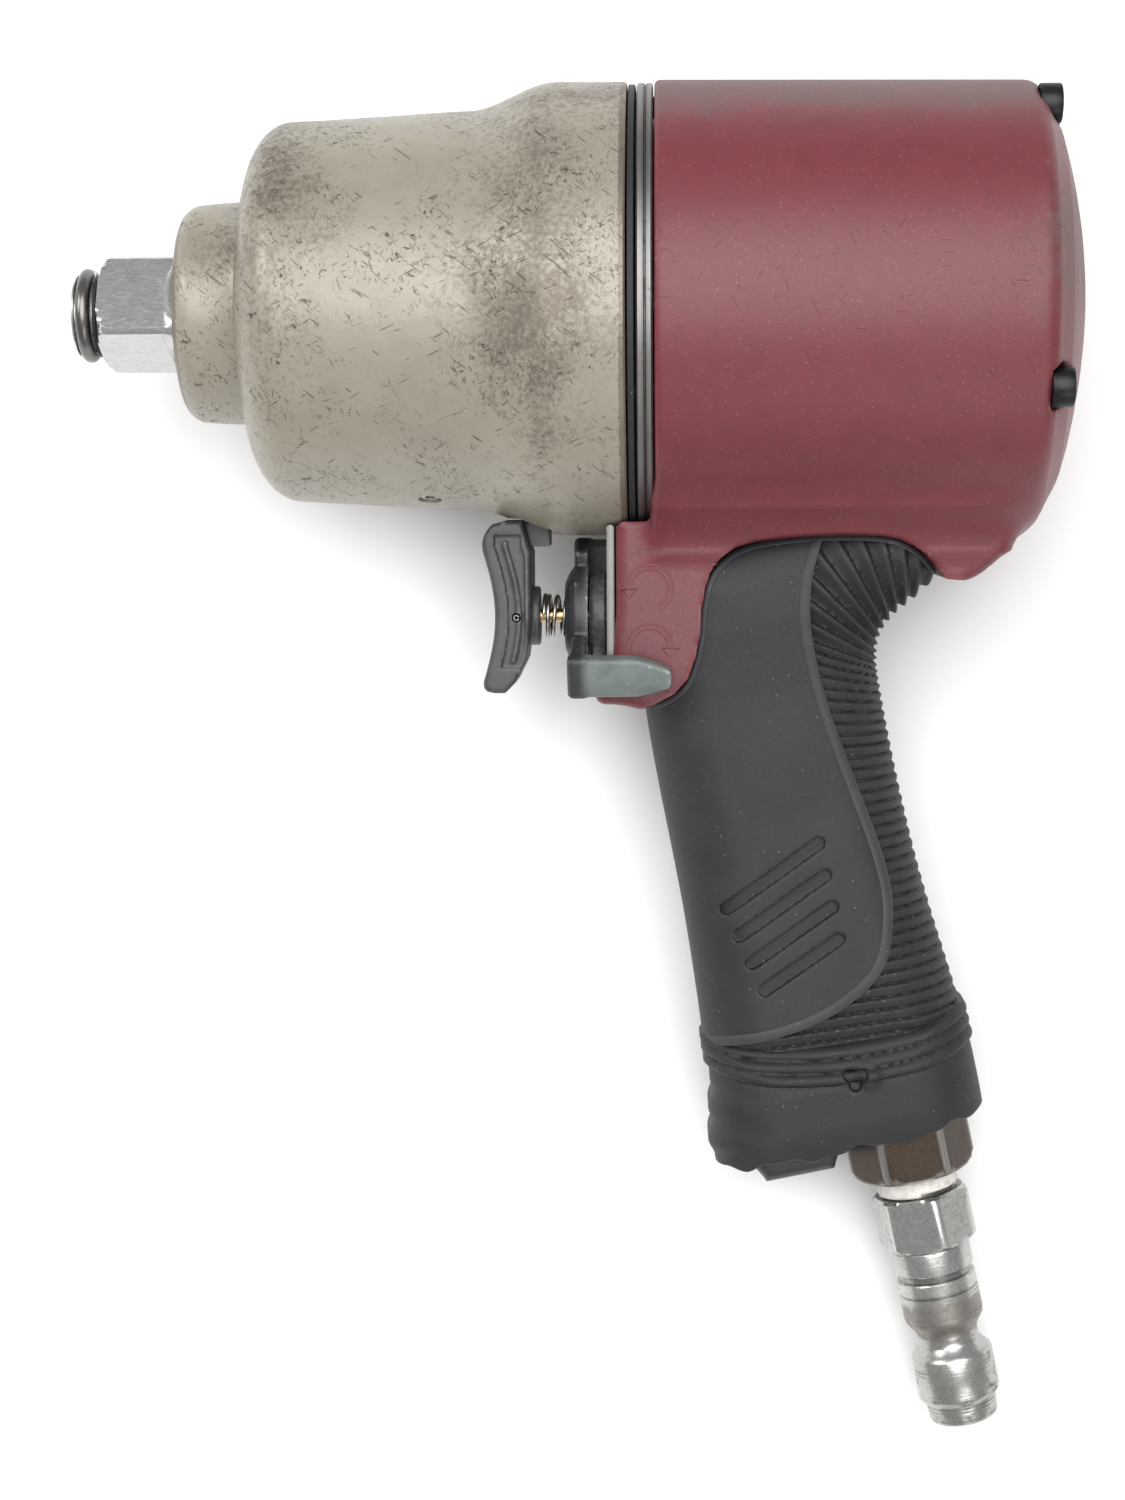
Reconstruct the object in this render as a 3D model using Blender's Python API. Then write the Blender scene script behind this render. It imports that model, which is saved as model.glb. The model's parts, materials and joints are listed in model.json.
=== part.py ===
"""Pneumatic pistol-grip impact wrench with a 3/4 inch square drive.

Tool frame: X runs along the barrel towards the rear, Y away from the handle, Z out of the flank.
X = 0 is the middle of the motor's front plate, and the barrel's axis is Y = Z = 0.
The tool lies on its flank, rolled about X until the handle's boot touches the floor too.
Sizes are in millimetres and angles in degrees; meshes are scaled to metres as they are made.
"""

import math

import bmesh
import bpy
from mathutils import Matrix, Vector

MM = 0.001
GAP = 0.3                      # clearance between two pieces that touch
FINE, ROUND, SMALL, TINY = 40, 24, 14, 10     # sides of large to tiny round pieces
HALF_SIDE = 180 / ROUND        # turns a round piece so that a flat faces Y and Z

# Square drive and anvil
DRIVE_SIZE = 19.05
DRIVE_TURN = 27.0              # how far the square happens to be turned
DRIVE_CORNER_R = 12.7          # its corners are turned down to this radius
DRIVE_LENGTH = 18.0
STUB_R = 7.6
STUB_LENGTH = 5.8
STUB_LIP = 0.7
JOURNAL_R = 12.8
SPINDLE_R = 11.0
LUG_R = 15.0
PILOT_R = 6.6
PILOT_LENGTH = 5.0
RING_R = 10.2
RING_WIDTH = 3.3
O_RING_WIDTH = 1.0

# Hammer case
CASE_REAR = -3.4
CASE_LENGTH = 95.6
NOSE_R = 23.7
NOSE_LENGTH = 14.4
NOSE_FILLET = 6.4
DOME_LENGTH = 10.1
CASE_FRONT_R = 40.5
CASE_WAIST_R = 42.4
CASE_WAIST = -37.0             # where the swell to the flange begins
SWELL_LENGTH = 19.0
FLANGE_R = 48.1
CASE_BORE_R = 37.2
CASE_CORNER = 1.2              # chamfer inside the front wall
NOSE_WALL = 26.5               # nose face to the inside of the front wall
BUSHING_WALL = 1.9
SEAL_WIDTH = 2.6
GASKET_THICKNESS = 1.5
GREASE_PORT = -45.6
GREASE_ANGLE = 17.0
GREASE_R = 2.3

# Hammer cage and twin hammers
WASHER_THICKNESS = 1.3
WASHER_R = 30.0
CAGE_R = 36.4
CAGE_FRONT_WALL = 8.0
CAGE_REAR_WALL = 10.0
HAMMER_LENGTH = 17.0
HAMMER_R = 30.6
HAMMER_BORE_R = 19.0
JAW_R = 13.4
PIN_R = 4.0
PIN_CIRCLE_R = 27.0
PIN_ANGLES = (90, -90)
STRUT_R = 32.3
STRUT_ANGLE = 20.0

# Air motor
PLATE_THICKNESS = 3.4
BEARING_R = 17.5
BEARING_BORE_R = 7.5
BEARING_WIDTH = 11.0
RACE_THICKNESS = 2.9
BALL_COUNT = 9
HUB_WALL = 4.2
ROTOR_R = 30.0
ROTOR_LENGTH = 54.4
SHAFT_R = 7.2
VANE_COUNT = 6
VANE_THICKNESS = 2.4
VANE_TIP_R = 30.25
VANE_ROOT_R = 17.4
LINER_R = 41.2
LINER_BORE_R = 33.8
LINER_OFFSET = 3.0
DOWEL_R = 1.2

# Motor housing
HOUSING_R = 48.4
HOUSING_LENGTH = 80.7          # front face to the start of the domed end
DOME_HEIGHT = 10.0
DOME_EDGE = 4.0
REAR_WALL = 20.1               # dome's crown to the inside of the rear wall
BOLT_R = 2.3
BOLT_HEAD_R = 4.2
BOLT_HEAD_HEIGHT = 4.6
HEAD_SINK = 1.7                # how far the heads' seats lie below the domed end's edge
BOLT_CIRCLE_R = 44.4
BOLT_ANGLE = 66.0
BOLT_GRIP = 11.0               # how far a bolt reaches into the case
NECK_HALF = 19.5
FLARE_HALF = 25.0

# Handle, measured in its own leaning frame
HANDLE_LEAN = 11.7
HANDLE_AT = (30.0, -60.0)
GRIP_LENGTH = 93.0
SLEEVE_WALL = 2.6
BOOT_WALL = 2.8
BOOT_LENGTH = 27.7
BOOT_HALF = 22.0
BEAD = 1.2
BEAD_COUNT = 3
CORE_END = 116.0

# Air inlet and plug
INLET_OFFSET = 2.6             # inlet axis behind the handle's own axis
INLET_HEX = 24.0
INLET_HEX_LENGTH = 15.6
INLET_SHANK_R = 10.0
INLET_SHANK_LENGTH = 16.0
PLUG_THREAD_R = 8.55
PLUG_HEX = 19.05
PLUG_HEX_LENGTH = 12.0
PLUG_BODY_R = 8.75
PLUG_NECK_R = 6.7
PLUG_HEAD_R = 9.0
PLUG_BORE_R = 4.6
PLUG_LENGTH = 57.0

# Throttle and reverse
ROD_LEVEL = -65.5
ROD_R = 1.55
TRIGGER_HALF = 10.0
TRIGGER_FACE = -24.3
TRIGGER_TRAVEL = 4.0
TRIGGER_TOP = -44.8
RELIEF_GAP = 0.6               # room between the trigger and the case
LUG_HALF = 3.0
LUG_REACH = 4.1
LUG_DEPTH = 5.6
KNOB_FRONT = -17.3
KNOB_REAR = -12.2
KNOB_R = 11.0
KNOB_LOBE_R = 14.4
VALVE_BUSHING_R = 9.6
VALVE_SHANK_R = 8.0
REVERSE_VALVE_R = 4.6
VALVE_PLATE_THICKNESS = 1.6
NECK_FRONT = -6.0
SEAT_STEP = 14.0               # depth of the wide part of the valve bore
TAB_INNER_R = 24.5
TAB_OUTER_R = 29.0
TAB_ANGLE = 25.6
TAB_SPREAD = 9.5
TAB_REACH = 5.8
PASSAGE_R = 8.3
SEAT_AT = 31.0                 # throttle seat, along the inlet axis
SEAT_THICKNESS = 2.2
TIP_HEAD_R = 6.5
TIP_HEAD_THICKNESS = 2.4
STEM_R = 1.3

# Sizes and places that follow from those above
BUSHING_R = JOURNAL_R + GAP + BUSHING_WALL
NOSE_FACE = CASE_REAR - CASE_LENGTH
CASE_WALL = NOSE_FACE + NOSE_WALL
PLATE_FRONT = CASE_REAR + GAP + GASKET_THICKNESS + GAP
PLATE_REAR = PLATE_FRONT + PLATE_THICKNESS
HOUSING_FRONT = PLATE_REAR + GAP
HOUSING_REAR = HOUSING_FRONT + HOUSING_LENGTH + DOME_HEIGHT
CUP_END = HOUSING_REAR - REAR_WALL
LINER_FRONT = PLATE_REAR + GAP
LINER_REAR = LINER_FRONT + ROTOR_LENGTH + 4 * GAP
HUB_R = BEARING_R + HUB_WALL
CAGE_REAR = PLATE_REAR - BEARING_WIDTH - HUB_WALL - 4.5
CAGE_FRONT = CASE_WALL + WASHER_THICKNESS + 2 * GAP
DRIVE_FRONT = NOSE_FACE - DRIVE_LENGTH
ANVIL_TIP = DRIVE_FRONT - STUB_LENGTH
HAMMER_PLACES = (CAGE_FRONT + CAGE_FRONT_WALL + GAP,
                 CAGE_FRONT + CAGE_FRONT_WALL + HAMMER_LENGTH + 2 * GAP)
KNOB_AXIS = (0.0, ROD_LEVEL, 0.0)
LEAN = math.radians(HANDLE_LEAN)
DOWN = Vector((math.sin(LEAN), -math.cos(LEAN), 0))
BACK = Vector((math.cos(LEAN), math.sin(LEAN), 0))
BOLT_ANGLES = [BOLT_ANGLE - 90 * quarter for quarter in range(4)]

# Grip sections down the handle: place, front, back and half thickness
GRIP_SECTIONS = ((-17, -25, 34.5, 19.2), (-4, -27, 34.5, 19.2), (5, -31, 32.6, 19.0), (9, -33, 20.5, 18.6),
                 (16, -34.3, 16.3, 18.2), (46, -34.9, 16.1, 18.0), (64, -35.1, 16.5, 18.2),
                 (80, -35.9, 18.0, 18.9), (GRIP_LENGTH, -36.6, 19.4, 19.5))
CORE_TAIL = ((CORE_END, -36.6, 19.6, 20.4),)


# ---------------------------------------------------------------- tools

def clear_scene():
    for item in list(bpy.data.objects):
        bpy.data.objects.remove(item, do_unlink=True)


def look(name, colour, roughness, metallic=0.0):
    """One Principled material."""
    material = bpy.data.materials.new(name)
    material.use_nodes = True
    shader = material.node_tree.nodes["Principled BSDF"]
    shader.inputs["Base Color"].default_value = (*colour, 1.0)
    shader.inputs["Roughness"].default_value = roughness
    shader.inputs["Metallic"].default_value = metallic
    material.diffuse_color = (*colour, 1.0)
    return material


def finish(name, bm, material, pivot=(0, 0, 0)):
    """Turn a bmesh in tool millimetres into an object whose origin is at pivot."""
    bmesh.ops.recalc_face_normals(bm, faces=bm.faces)
    mesh = bpy.data.meshes.new(name)
    bm.to_mesh(mesh)
    bm.free()
    mesh.transform(Matrix.Scale(MM, 4) @ Matrix.Translation(-Vector(pivot)))
    mesh.shade_smooth()
    mesh.set_sharp_from_angle(angle=math.radians(32))
    item = bpy.data.objects.new(name, mesh)
    item.location = Vector(pivot) * MM
    item.parent = bpy.data.objects["tool_frame"]
    bpy.context.scene.collection.objects.link(item)
    if material:
        mesh.materials.append(material)
    return item


def turned(name, outline, sides, material=None, pivot=(0, 0, 0), centre=(0, 0, 0), turn=0.0):
    """Turn an (x, radius) outline about the X axis through centre.

    An outline that starts and ends on the axis makes a solid, any other one a ring."""
    bm = bmesh.new()
    points = [bm.verts.new((x, r, 0)) for x, r in outline]
    pairs = list(zip(points, points[1:]))
    if outline[0][1] > 0:
        pairs.append((points[-1], points[0]))
    edges = [bm.edges.new(pair) for pair in pairs]
    bmesh.ops.spin(bm, geom=points + edges, axis=(1, 0, 0), cent=(0, 0, 0), angle=2 * math.pi,
                   steps=sides, use_merge=True)
    bmesh.ops.remove_doubles(bm, verts=bm.verts, dist=1e-4)
    bmesh.ops.transform(bm, verts=bm.verts,
                        matrix=Matrix.Translation(centre) @ Matrix.Rotation(math.radians(turn), 4, "X"))
    return finish(name, bm, material, pivot)


def along_handle(item, offset=INLET_OFFSET):
    """Move a piece turned about X onto the inlet axis, its X running down the handle."""
    base = Vector((*HANDLE_AT, 0)) + BACK * offset
    across = Vector((0, 0, 1)).cross(DOWN)
    matrix = Matrix((DOWN, across, Vector((0, 0, 1)))).transposed().to_4x4()
    item.data.transform(Matrix.Translation(base * MM) @ matrix)
    return item


def prism(name, outline, low, high, material=None, pivot=(0, 0, 0), axis="Z"):
    """Extrude an (x, y) outline along Z, or a (y, z) outline along X."""
    bm = bmesh.new()
    places = [(low, y, z) if axis == "X" else (y, z, low) for y, z in outline]
    face = bm.faces.new([bm.verts.new(place) for place in places])
    grown = bmesh.ops.extrude_face_region(bm, geom=[face])
    moved = [part for part in grown["geom"] if isinstance(part, bmesh.types.BMVert)]
    step = (high - low, 0, 0) if axis == "X" else (0, 0, high - low)
    bmesh.ops.translate(bm, verts=moved, vec=step)
    return finish(name, bm, material, pivot)


def lofted(name, rings, material=None, pivot=(0, 0, 0)):
    """Skin a row of rings with as many points each, and cap both ends."""
    bm = bmesh.new()
    rows = [[bm.verts.new(point) for point in ring] for ring in rings]
    for row, following in zip(rows, rows[1:]):
        for here in range(len(row)):
            there = (here + 1) % len(row)
            bm.faces.new((row[here], row[there], following[there], following[here]))
    bm.faces.new(rows[0])
    bm.faces.new(rows[-1])
    return finish(name, bm, material, pivot)


def combine(target, tool, operation="DIFFERENCE"):
    """Cut, join or intersect target with a tool that isn't a piece itself."""
    modifier = target.modifiers.new(tool.name, "BOOLEAN")
    modifier.operation = operation
    modifier.solver = "EXACT"
    modifier.object = tool
    tool.hide_render = True
    tool.display_type = "WIRE"
    return target


def join(target, tool):
    return combine(target, tool, "UNION")


def polar(radius, degrees):
    """A (y, z) point at an angle from +Z towards +Y."""
    angle = math.radians(degrees)
    return radius * math.sin(angle), radius * math.cos(angle)


def arc(centre, radius, start, end, count):
    """Points on an arc in the outline's own plane."""
    angles = [math.radians(start + (end - start) * step / count) for step in range(count + 1)]
    return [(centre[0] + radius * math.cos(a), centre[1] + radius * math.sin(a)) for a in angles]


def sector(inner, outer, middle, half, count=4):
    """A ring sector in (y, z), its angles measured from +Z towards +Y."""
    angles = [middle - half + 2 * half * step / count for step in range(count + 1)]
    return [polar(outer, a) for a in angles] + [polar(inner, a) for a in reversed(angles)]


def hexagon(flats, turn=0.0):
    """A hexagon outline in (y, z) by its size across flats."""
    return [polar(flats / math.sqrt(3), 60 * corner + turn) for corner in range(6)]


def on_handle(s, e, z=0.0):
    """A tool point from a place down the handle and towards its back."""
    return Vector((*HANDLE_AT, 0)) + DOWN * s + BACK * e + Vector((0, 0, z))


def handle_outline(pairs):
    return [tuple(on_handle(s, e).xy) for s, e in pairs]


def outset(outline, distance):
    """Move a closed outline's sides outwards, whichever way round it runs."""
    points = [Vector(point) for point in outline]
    area = sum(a.x * b.y - b.x * a.y for a, b in zip(points, points[1:] + points[:1]))
    side = math.copysign(1.0, area)
    moved = []
    for before, here, after in zip(points[-1:] + points[:-1], points, points[1:] + points[:1]):
        first = (here - before).normalized()
        second = (after - here).normalized()
        normals = Vector((first.y, -first.x)) + Vector((second.y, -second.x))
        normals.normalize()
        stretch = max(0.5, normals.dot(Vector((first.y, -first.x))))
        moved.append(tuple(here + normals * side * distance / stretch))
    return moved


def oval(s, front, back, half, inset=0.0, count=24, squareness=2.5):
    """A rounded section of the handle."""
    middle = (front + back) / 2
    depth = (back - front) / 2 - inset
    width = half - inset
    ring = []
    for step in range(count):
        angle = 2 * math.pi * step / count
        cosine, sine = math.cos(angle), math.sin(angle)
        e = math.copysign(abs(cosine) ** (2 / squareness), cosine) * depth
        z = math.copysign(abs(sine) ** (2 / squareness), sine) * width
        ring.append(on_handle(s, middle + e, z))
    return ring


def coil(name, start, end, radius, wire, turns, centre, material):
    """A round wire wound about the X axis."""
    steps = int(turns * 12)
    rings = []
    for step in range(steps + 1):
        share = step / steps
        angle = 2 * math.pi * turns * share
        out = Vector((0, math.cos(angle), math.sin(angle)))
        hub = Vector((start + (end - start) * share, 0, 0)) + Vector(centre)
        rings.append([hub + out * (radius + wire * math.cos(2 * math.pi * corner / 5))
                      + Vector((1, 0, 0)) * wire * math.sin(2 * math.pi * corner / 5) for corner in range(5)])
    return lofted(name, rings, material, centre)


# ---------------------------------------------------------------- front end

def make_hammer_case(bolt_holes, material):
    nose = [(NOSE_FACE, BUSHING_R + GAP)]
    nose += arc((NOSE_FACE + NOSE_FILLET, NOSE_R - NOSE_FILLET), NOSE_FILLET, 180, 90, 3)
    root = NOSE_FACE + NOSE_LENGTH
    dome = [(root, NOSE_R)]
    for step in range(5):
        angle = math.radians(9 + 81 * step / 4)
        dome.append((root + DOME_LENGTH * (1 - math.cos(angle)),
                     NOSE_R + (CASE_FRONT_R - NOSE_R) * math.sin(angle)))
    swell = []
    for step in range(5):
        share = step / 4
        blend = share * share * (3 - 2 * share)
        swell.append((CASE_WAIST + SWELL_LENGTH * share, CASE_WAIST_R + (FLANGE_R - CASE_WAIST_R) * blend))
    inside = [(CASE_REAR, FLANGE_R), (CASE_REAR, CASE_BORE_R), (CASE_WALL + CASE_CORNER, CASE_BORE_R),
              (CASE_WALL, CASE_BORE_R - CASE_CORNER), (CASE_WALL, BUSHING_R + GAP)]
    case = turned("hammer_case", nose + dome + swell + inside, FINE, material)
    combine(case, bolt_holes)
    combine(case, radial_pin("cut_grease_port", GREASE_R + GAP, CASE_BORE_R - 4, FLANGE_R))
    swept = TRIGGER_FACE + TRIGGER_TRAVEL + RELIEF_GAP
    combine(case, slab("cut_trigger_relief", (CASE_WAIST, -FLANGE_R - 5, -TRIGGER_HALF - 1.5),
                       (swept, TRIGGER_TOP + RELIEF_GAP, TRIGGER_HALF + 1.5)))
    combine(case, slab("cut_lug_slot", (swept - 1, -FLANGE_R - 5, -LUG_HALF - RELIEF_GAP),
                       (swept + LUG_REACH, TRIGGER_TOP + RELIEF_GAP, LUG_HALF + RELIEF_GAP)))
    return case


def slab(name, low, high):
    """A box between two corners, given as (x, y, z)."""
    return prism(name, [(low[0], low[1]), (high[0], low[1]), (high[0], high[1]), (low[0], high[1])],
                 low[2], high[2])


def radial_pin(name, radius, low, high, material=None):
    """A short round pin that points out of the case's underside at the grease port."""
    item = turned(name, [(low, 0), (low, radius), (high, radius), (high, 0)], TINY)
    side = math.radians(GREASE_ANGLE)
    outward = Vector((0, -math.cos(side), math.sin(side)))
    across = Vector((1, 0, 0)).cross(outward)
    matrix = Matrix((outward, Vector((1, 0, 0)), -across)).transposed().to_4x4()
    item.data.transform(Matrix.Translation((GREASE_PORT * MM, 0, 0)) @ matrix)
    if material:
        item.data.materials.append(material)
    return item


def make_case_fittings(bolt_holes, looks):
    inner = JOURNAL_R + GAP
    seal_front = NOSE_FACE + 0.8
    bushing_front = seal_front + SEAL_WIDTH + GAP
    turned("anvil_seal", ring(seal_front, seal_front + SEAL_WIDTH, inner, BUSHING_R), ROUND, looks["rubber"])
    turned("nose_bushing", ring(bushing_front, CASE_WALL - GAP, inner, BUSHING_R), ROUND, looks["bronze"])
    turned("thrust_washer", ring(CASE_WALL + GAP, CASE_WALL + GAP + WASHER_THICKNESS, BUSHING_R, WASHER_R),
           ROUND, looks["steel"])
    gasket = turned("case_gasket", ring(CASE_REAR + GAP, CASE_REAR + GAP + GASKET_THICKNESS,
                                        CASE_BORE_R, FLANGE_R - 0.5), FINE, looks["rubber"])
    combine(gasket, bolt_holes)
    radial_pin("grease_screw", GREASE_R, CASE_BORE_R + 0.4, CASE_WAIST_R - 0.9, looks["steel"])


def ring(low, high, inner, outer):
    """The outline of a plain ring."""
    return [(low, inner), (low, outer), (high, outer), (high, inner)]


def drive_ring(x, half, limit, count=FINE):
    """A square section whose corners are turned to a radius."""
    points = []
    for step in range(count):
        angle = 2 * math.pi * step / count
        reach = min(half / max(abs(math.cos(angle)), abs(math.sin(angle))), limit)
        y, z = polar(reach, math.degrees(angle) + DRIVE_TURN)
        points.append((x, y, z))
    return points


def make_anvil(looks):
    round_part = 100.0
    half = DRIVE_SIZE / 2
    rear = CAGE_REAR - CAGE_REAR_WALL - GAP
    stub_end = DRIVE_FRONT
    rows = [drive_ring(ANVIL_TIP, round_part, STUB_R + 0.6),
            drive_ring(ANVIL_TIP + 0.4, round_part, STUB_R + 1.2),
            drive_ring(ANVIL_TIP + STUB_LIP, round_part, STUB_R + 1.2),
            drive_ring(ANVIL_TIP + STUB_LIP + 0.05, round_part, STUB_R),
            drive_ring(stub_end, round_part, STUB_R),
            drive_ring(stub_end + 0.05, half, DRIVE_CORNER_R - 2.2),
            drive_ring(stub_end + 1.8, half, DRIVE_CORNER_R),
            drive_ring(NOSE_FACE - 1.5, half, DRIVE_CORNER_R),
            drive_ring(NOSE_FACE - 0.2, round_part, JOURNAL_R),
            drive_ring(CAGE_FRONT + CAGE_FRONT_WALL, round_part, JOURNAL_R),
            drive_ring(CAGE_FRONT + CAGE_FRONT_WALL + 0.5, round_part, SPINDLE_R),
            drive_ring(rear - 0.5, round_part, SPINDLE_R),
            drive_ring(rear, round_part, PILOT_R),
            drive_ring(rear + PILOT_LENGTH, round_part, PILOT_R)]
    anvil = lofted("anvil", rows, looks["bright_steel"])
    for number, place in enumerate(HAMMER_PLACES):
        lug = prism(f"lug_{number + 1}", sector(SPINDLE_R - 3, LUG_R, 60 + 180 * number, 14),
                    place + 1.5, place + HAMMER_LENGTH - 1.5, axis="X")
        join(anvil, lug)
    ring_front = ANVIL_TIP + STUB_LIP + GAP
    inner = STUB_R + GAP
    socket_ring = turned("socket_ring", ring(ring_front, ring_front + RING_WIDTH, inner, RING_R),
                         ROUND, looks["dark_steel"])
    split = prism("cut_ring_split", [(RING_R - 4, -1.1), (RING_R + 4, -1.1), (RING_R + 4, 1.1), (RING_R - 4, 1.1)],
                  ring_front - 1, ring_front + RING_WIDTH + 1, axis="X")
    combine(socket_ring, split)
    o_ring = ring_front + RING_WIDTH + GAP
    turned("ring_o_ring", ring(o_ring, min(o_ring + O_RING_WIDTH, DRIVE_FRONT - GAP / 2), inner, RING_R - 0.9),
           SMALL, looks["rubber"])


# ---------------------------------------------------------------- hammers and cage

def make_cage(looks):
    cage = turned("hammer_cage", ring(CAGE_FRONT, CAGE_FRONT + CAGE_FRONT_WALL, JOURNAL_R + GAP, CAGE_R),
                  ROUND, looks["dark_steel"], turn=HALF_SIDE)
    rear_plate = turned("cage_rear_plate", ring(CAGE_REAR - CAGE_REAR_WALL, CAGE_REAR, SHAFT_R + GAP, CAGE_R),
                        ROUND, turn=HALF_SIDE)
    join(cage, rear_plate)
    for number, angle in enumerate(PIN_ANGLES):
        strut = prism(f"strut_{number + 1}", sector(STRUT_R, CAGE_R - 0.8, angle, STRUT_ANGLE, 4),
                      CAGE_FRONT + 3, CAGE_REAR - 3, axis="X")
        join(cage, strut)
        y, z = polar(PIN_CIRCLE_R, angle)
        hole = turned(f"cut_pin_{number + 1}", [(CAGE_FRONT + 2, 0), (CAGE_FRONT + 2, PIN_R + GAP),
                                                (CAGE_REAR - 2, PIN_R + GAP), (CAGE_REAR - 2, 0)],
                      SMALL, centre=(0, y, z))
        combine(cage, hole)
        low, high = CAGE_FRONT + 2 + GAP, CAGE_REAR - 2 - GAP
        turned(f"hammer_pin_{number + 1}", [(low, 0), (low, PIN_R - 0.5), (low + 0.5, PIN_R), (high - 0.5, PIN_R),
                                            (high, PIN_R - 0.5), (high, 0)],
               SMALL, looks["steel"], centre=(0, y, z))


def make_hammer(number, looks):
    """A ring hammer that rocks on one pin, with a slot around the other pin and a jaw inside."""
    low = HAMMER_PLACES[number]
    high = low + HAMMER_LENGTH
    own, other = PIN_ANGLES if number == 0 else PIN_ANGLES[::-1]
    pivot = (0, *polar(PIN_CIRCLE_R, own))
    name = ("hammer_front", "hammer_rear")[number]
    outline = ring(low, high, HAMMER_BORE_R, HAMMER_R)
    hammer = turned(name, outline, ROUND, looks["steel"], pivot)
    jaw = prism(f"jaw_{number + 1}", sector(JAW_R, HAMMER_BORE_R + 3, 180 * number, 20), low + 0.1, high - 0.1,
                axis="X")
    join(hammer, jaw)
    y, z = polar(PIN_CIRCLE_R, own)
    groove = turned(f"cut_groove_{number + 1}", [(low - 1, 0), (low - 1, PIN_R + GAP), (high + 1, PIN_R + GAP),
                                                 (high + 1, 0)], SMALL, centre=(0, y, z))
    combine(hammer, groove)
    sweep = math.degrees(math.atan2(PIN_R + 4.5, PIN_CIRCLE_R))
    slot = prism(f"cut_slot_{number + 1}", sector(PIN_CIRCLE_R - PIN_R - 1.2, HAMMER_R + 3, other, sweep),
                 low - 1, high + 1, axis="X")
    combine(hammer, slot)
    return hammer


# ---------------------------------------------------------------- air motor

def make_bearing(name, front, looks):
    rear = front + BEARING_WIDTH - 2 * GAP
    inner = BEARING_BORE_R + RACE_THICKNESS
    outer = BEARING_R - RACE_THICKNESS
    turned(f"{name}_inner_race", ring(front, rear, BEARING_BORE_R, inner), ROUND, looks["bright_steel"])
    turned(f"{name}_outer_race", ring(front, rear, outer, BEARING_R), ROUND, looks["bright_steel"])
    low, high = inner + GAP, outer - GAP
    middle = (front + rear) / 2
    steps = BALL_COUNT * 4
    rows = []
    for step in range(steps):
        angle = 360 * step / steps
        bulge = abs(math.cos(math.radians(angle * BALL_COUNT / 2)))
        thick = (high - low) / 2 * (0.45 + 0.52 * bulge)
        wide = (rear - front) / 2 * (0.35 + 0.3 * bulge)
        centre = (low + high) / 2
        corners = [(thick, wide * 0.5), (thick * 0.5, wide), (-thick * 0.5, wide), (-thick, wide * 0.5),
                   (-thick, -wide * 0.5), (-thick * 0.5, -wide), (thick * 0.5, -wide), (thick, -wide * 0.5)]
        rows.append([(middle + side, *polar(centre + out, angle)) for out, side in corners])
    bm = bmesh.new()
    grid = [[bm.verts.new(point) for point in row] for row in rows]
    for here, row in enumerate(grid):
        following = grid[(here + 1) % steps]
        for corner in range(8):
            across = (corner + 1) % 8
            bm.faces.new((row[corner], row[across], following[across], following[corner]))
    finish(f"{name}_balls", bm, looks["steel"])


def make_motor(bolt_holes, looks):
    pocket = BEARING_R + GAP
    shaft_hole = SHAFT_R + 1.8
    front_pocket = PLATE_REAR - HUB_WALL
    hub_front = front_pocket - BEARING_WIDTH
    plate = turned("front_end_plate", [(PLATE_FRONT, FLANGE_R - 0.2), (PLATE_REAR, FLANGE_R - 0.2),
                                       (PLATE_REAR, shaft_hole), (front_pocket, shaft_hole),
                                       (front_pocket, pocket), (hub_front, pocket), (hub_front, HUB_R),
                                       (PLATE_FRONT, HUB_R)], FINE, looks["aluminium"])
    combine(plate, bolt_holes)
    make_bearing("front_bearing", hub_front + GAP, looks)

    liner = turned("cylinder_liner", [(LINER_FRONT, 0), (LINER_FRONT, LINER_R), (LINER_REAR, LINER_R),
                                      (LINER_REAR, 0)], ROUND, looks["dark_steel"])
    bore = turned("cut_liner_bore", [(LINER_FRONT - 2, 0), (LINER_FRONT - 2, LINER_BORE_R),
                                     (LINER_REAR + 2, LINER_BORE_R), (LINER_REAR + 2, 0)],
                  ROUND, centre=(0, LINER_OFFSET, 0))
    combine(liner, bore)

    rear_plate = LINER_REAR + GAP
    rear_pocket = rear_plate + 3
    rear_hub = rear_pocket + BEARING_WIDTH
    end_plate = turned("rear_end_plate", [(rear_plate, shaft_hole), (rear_plate, LINER_R),
                                          (rear_plate + 6, LINER_R), (rear_plate + 6, HUB_R),
                                          (rear_hub, HUB_R), (rear_hub, pocket), (rear_pocket, pocket),
                                          (rear_pocket, shaft_hole)], ROUND, looks["aluminium"])
    make_bearing("rear_bearing", rear_pocket + GAP, looks)

    dowel_y, dowel_z = polar(LINER_R - 3.2, -90)
    low, high = LINER_REAR - 5, rear_plate + 4
    hole = turned("cut_dowel", [(low, 0), (low, DOWEL_R + GAP), (high, DOWEL_R + GAP), (high, 0)], TINY,
                  centre=(0, dowel_y, dowel_z))
    combine(liner, hole)
    combine(end_plate, hole)
    turned("motor_dowel", [(low + GAP, 0), (low + GAP, DOWEL_R), (high - GAP, DOWEL_R), (high - GAP, 0)], TINY,
           looks["steel"], centre=(0, dowel_y, dowel_z))
    make_rotor(rear_hub - GAP, looks)


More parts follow.
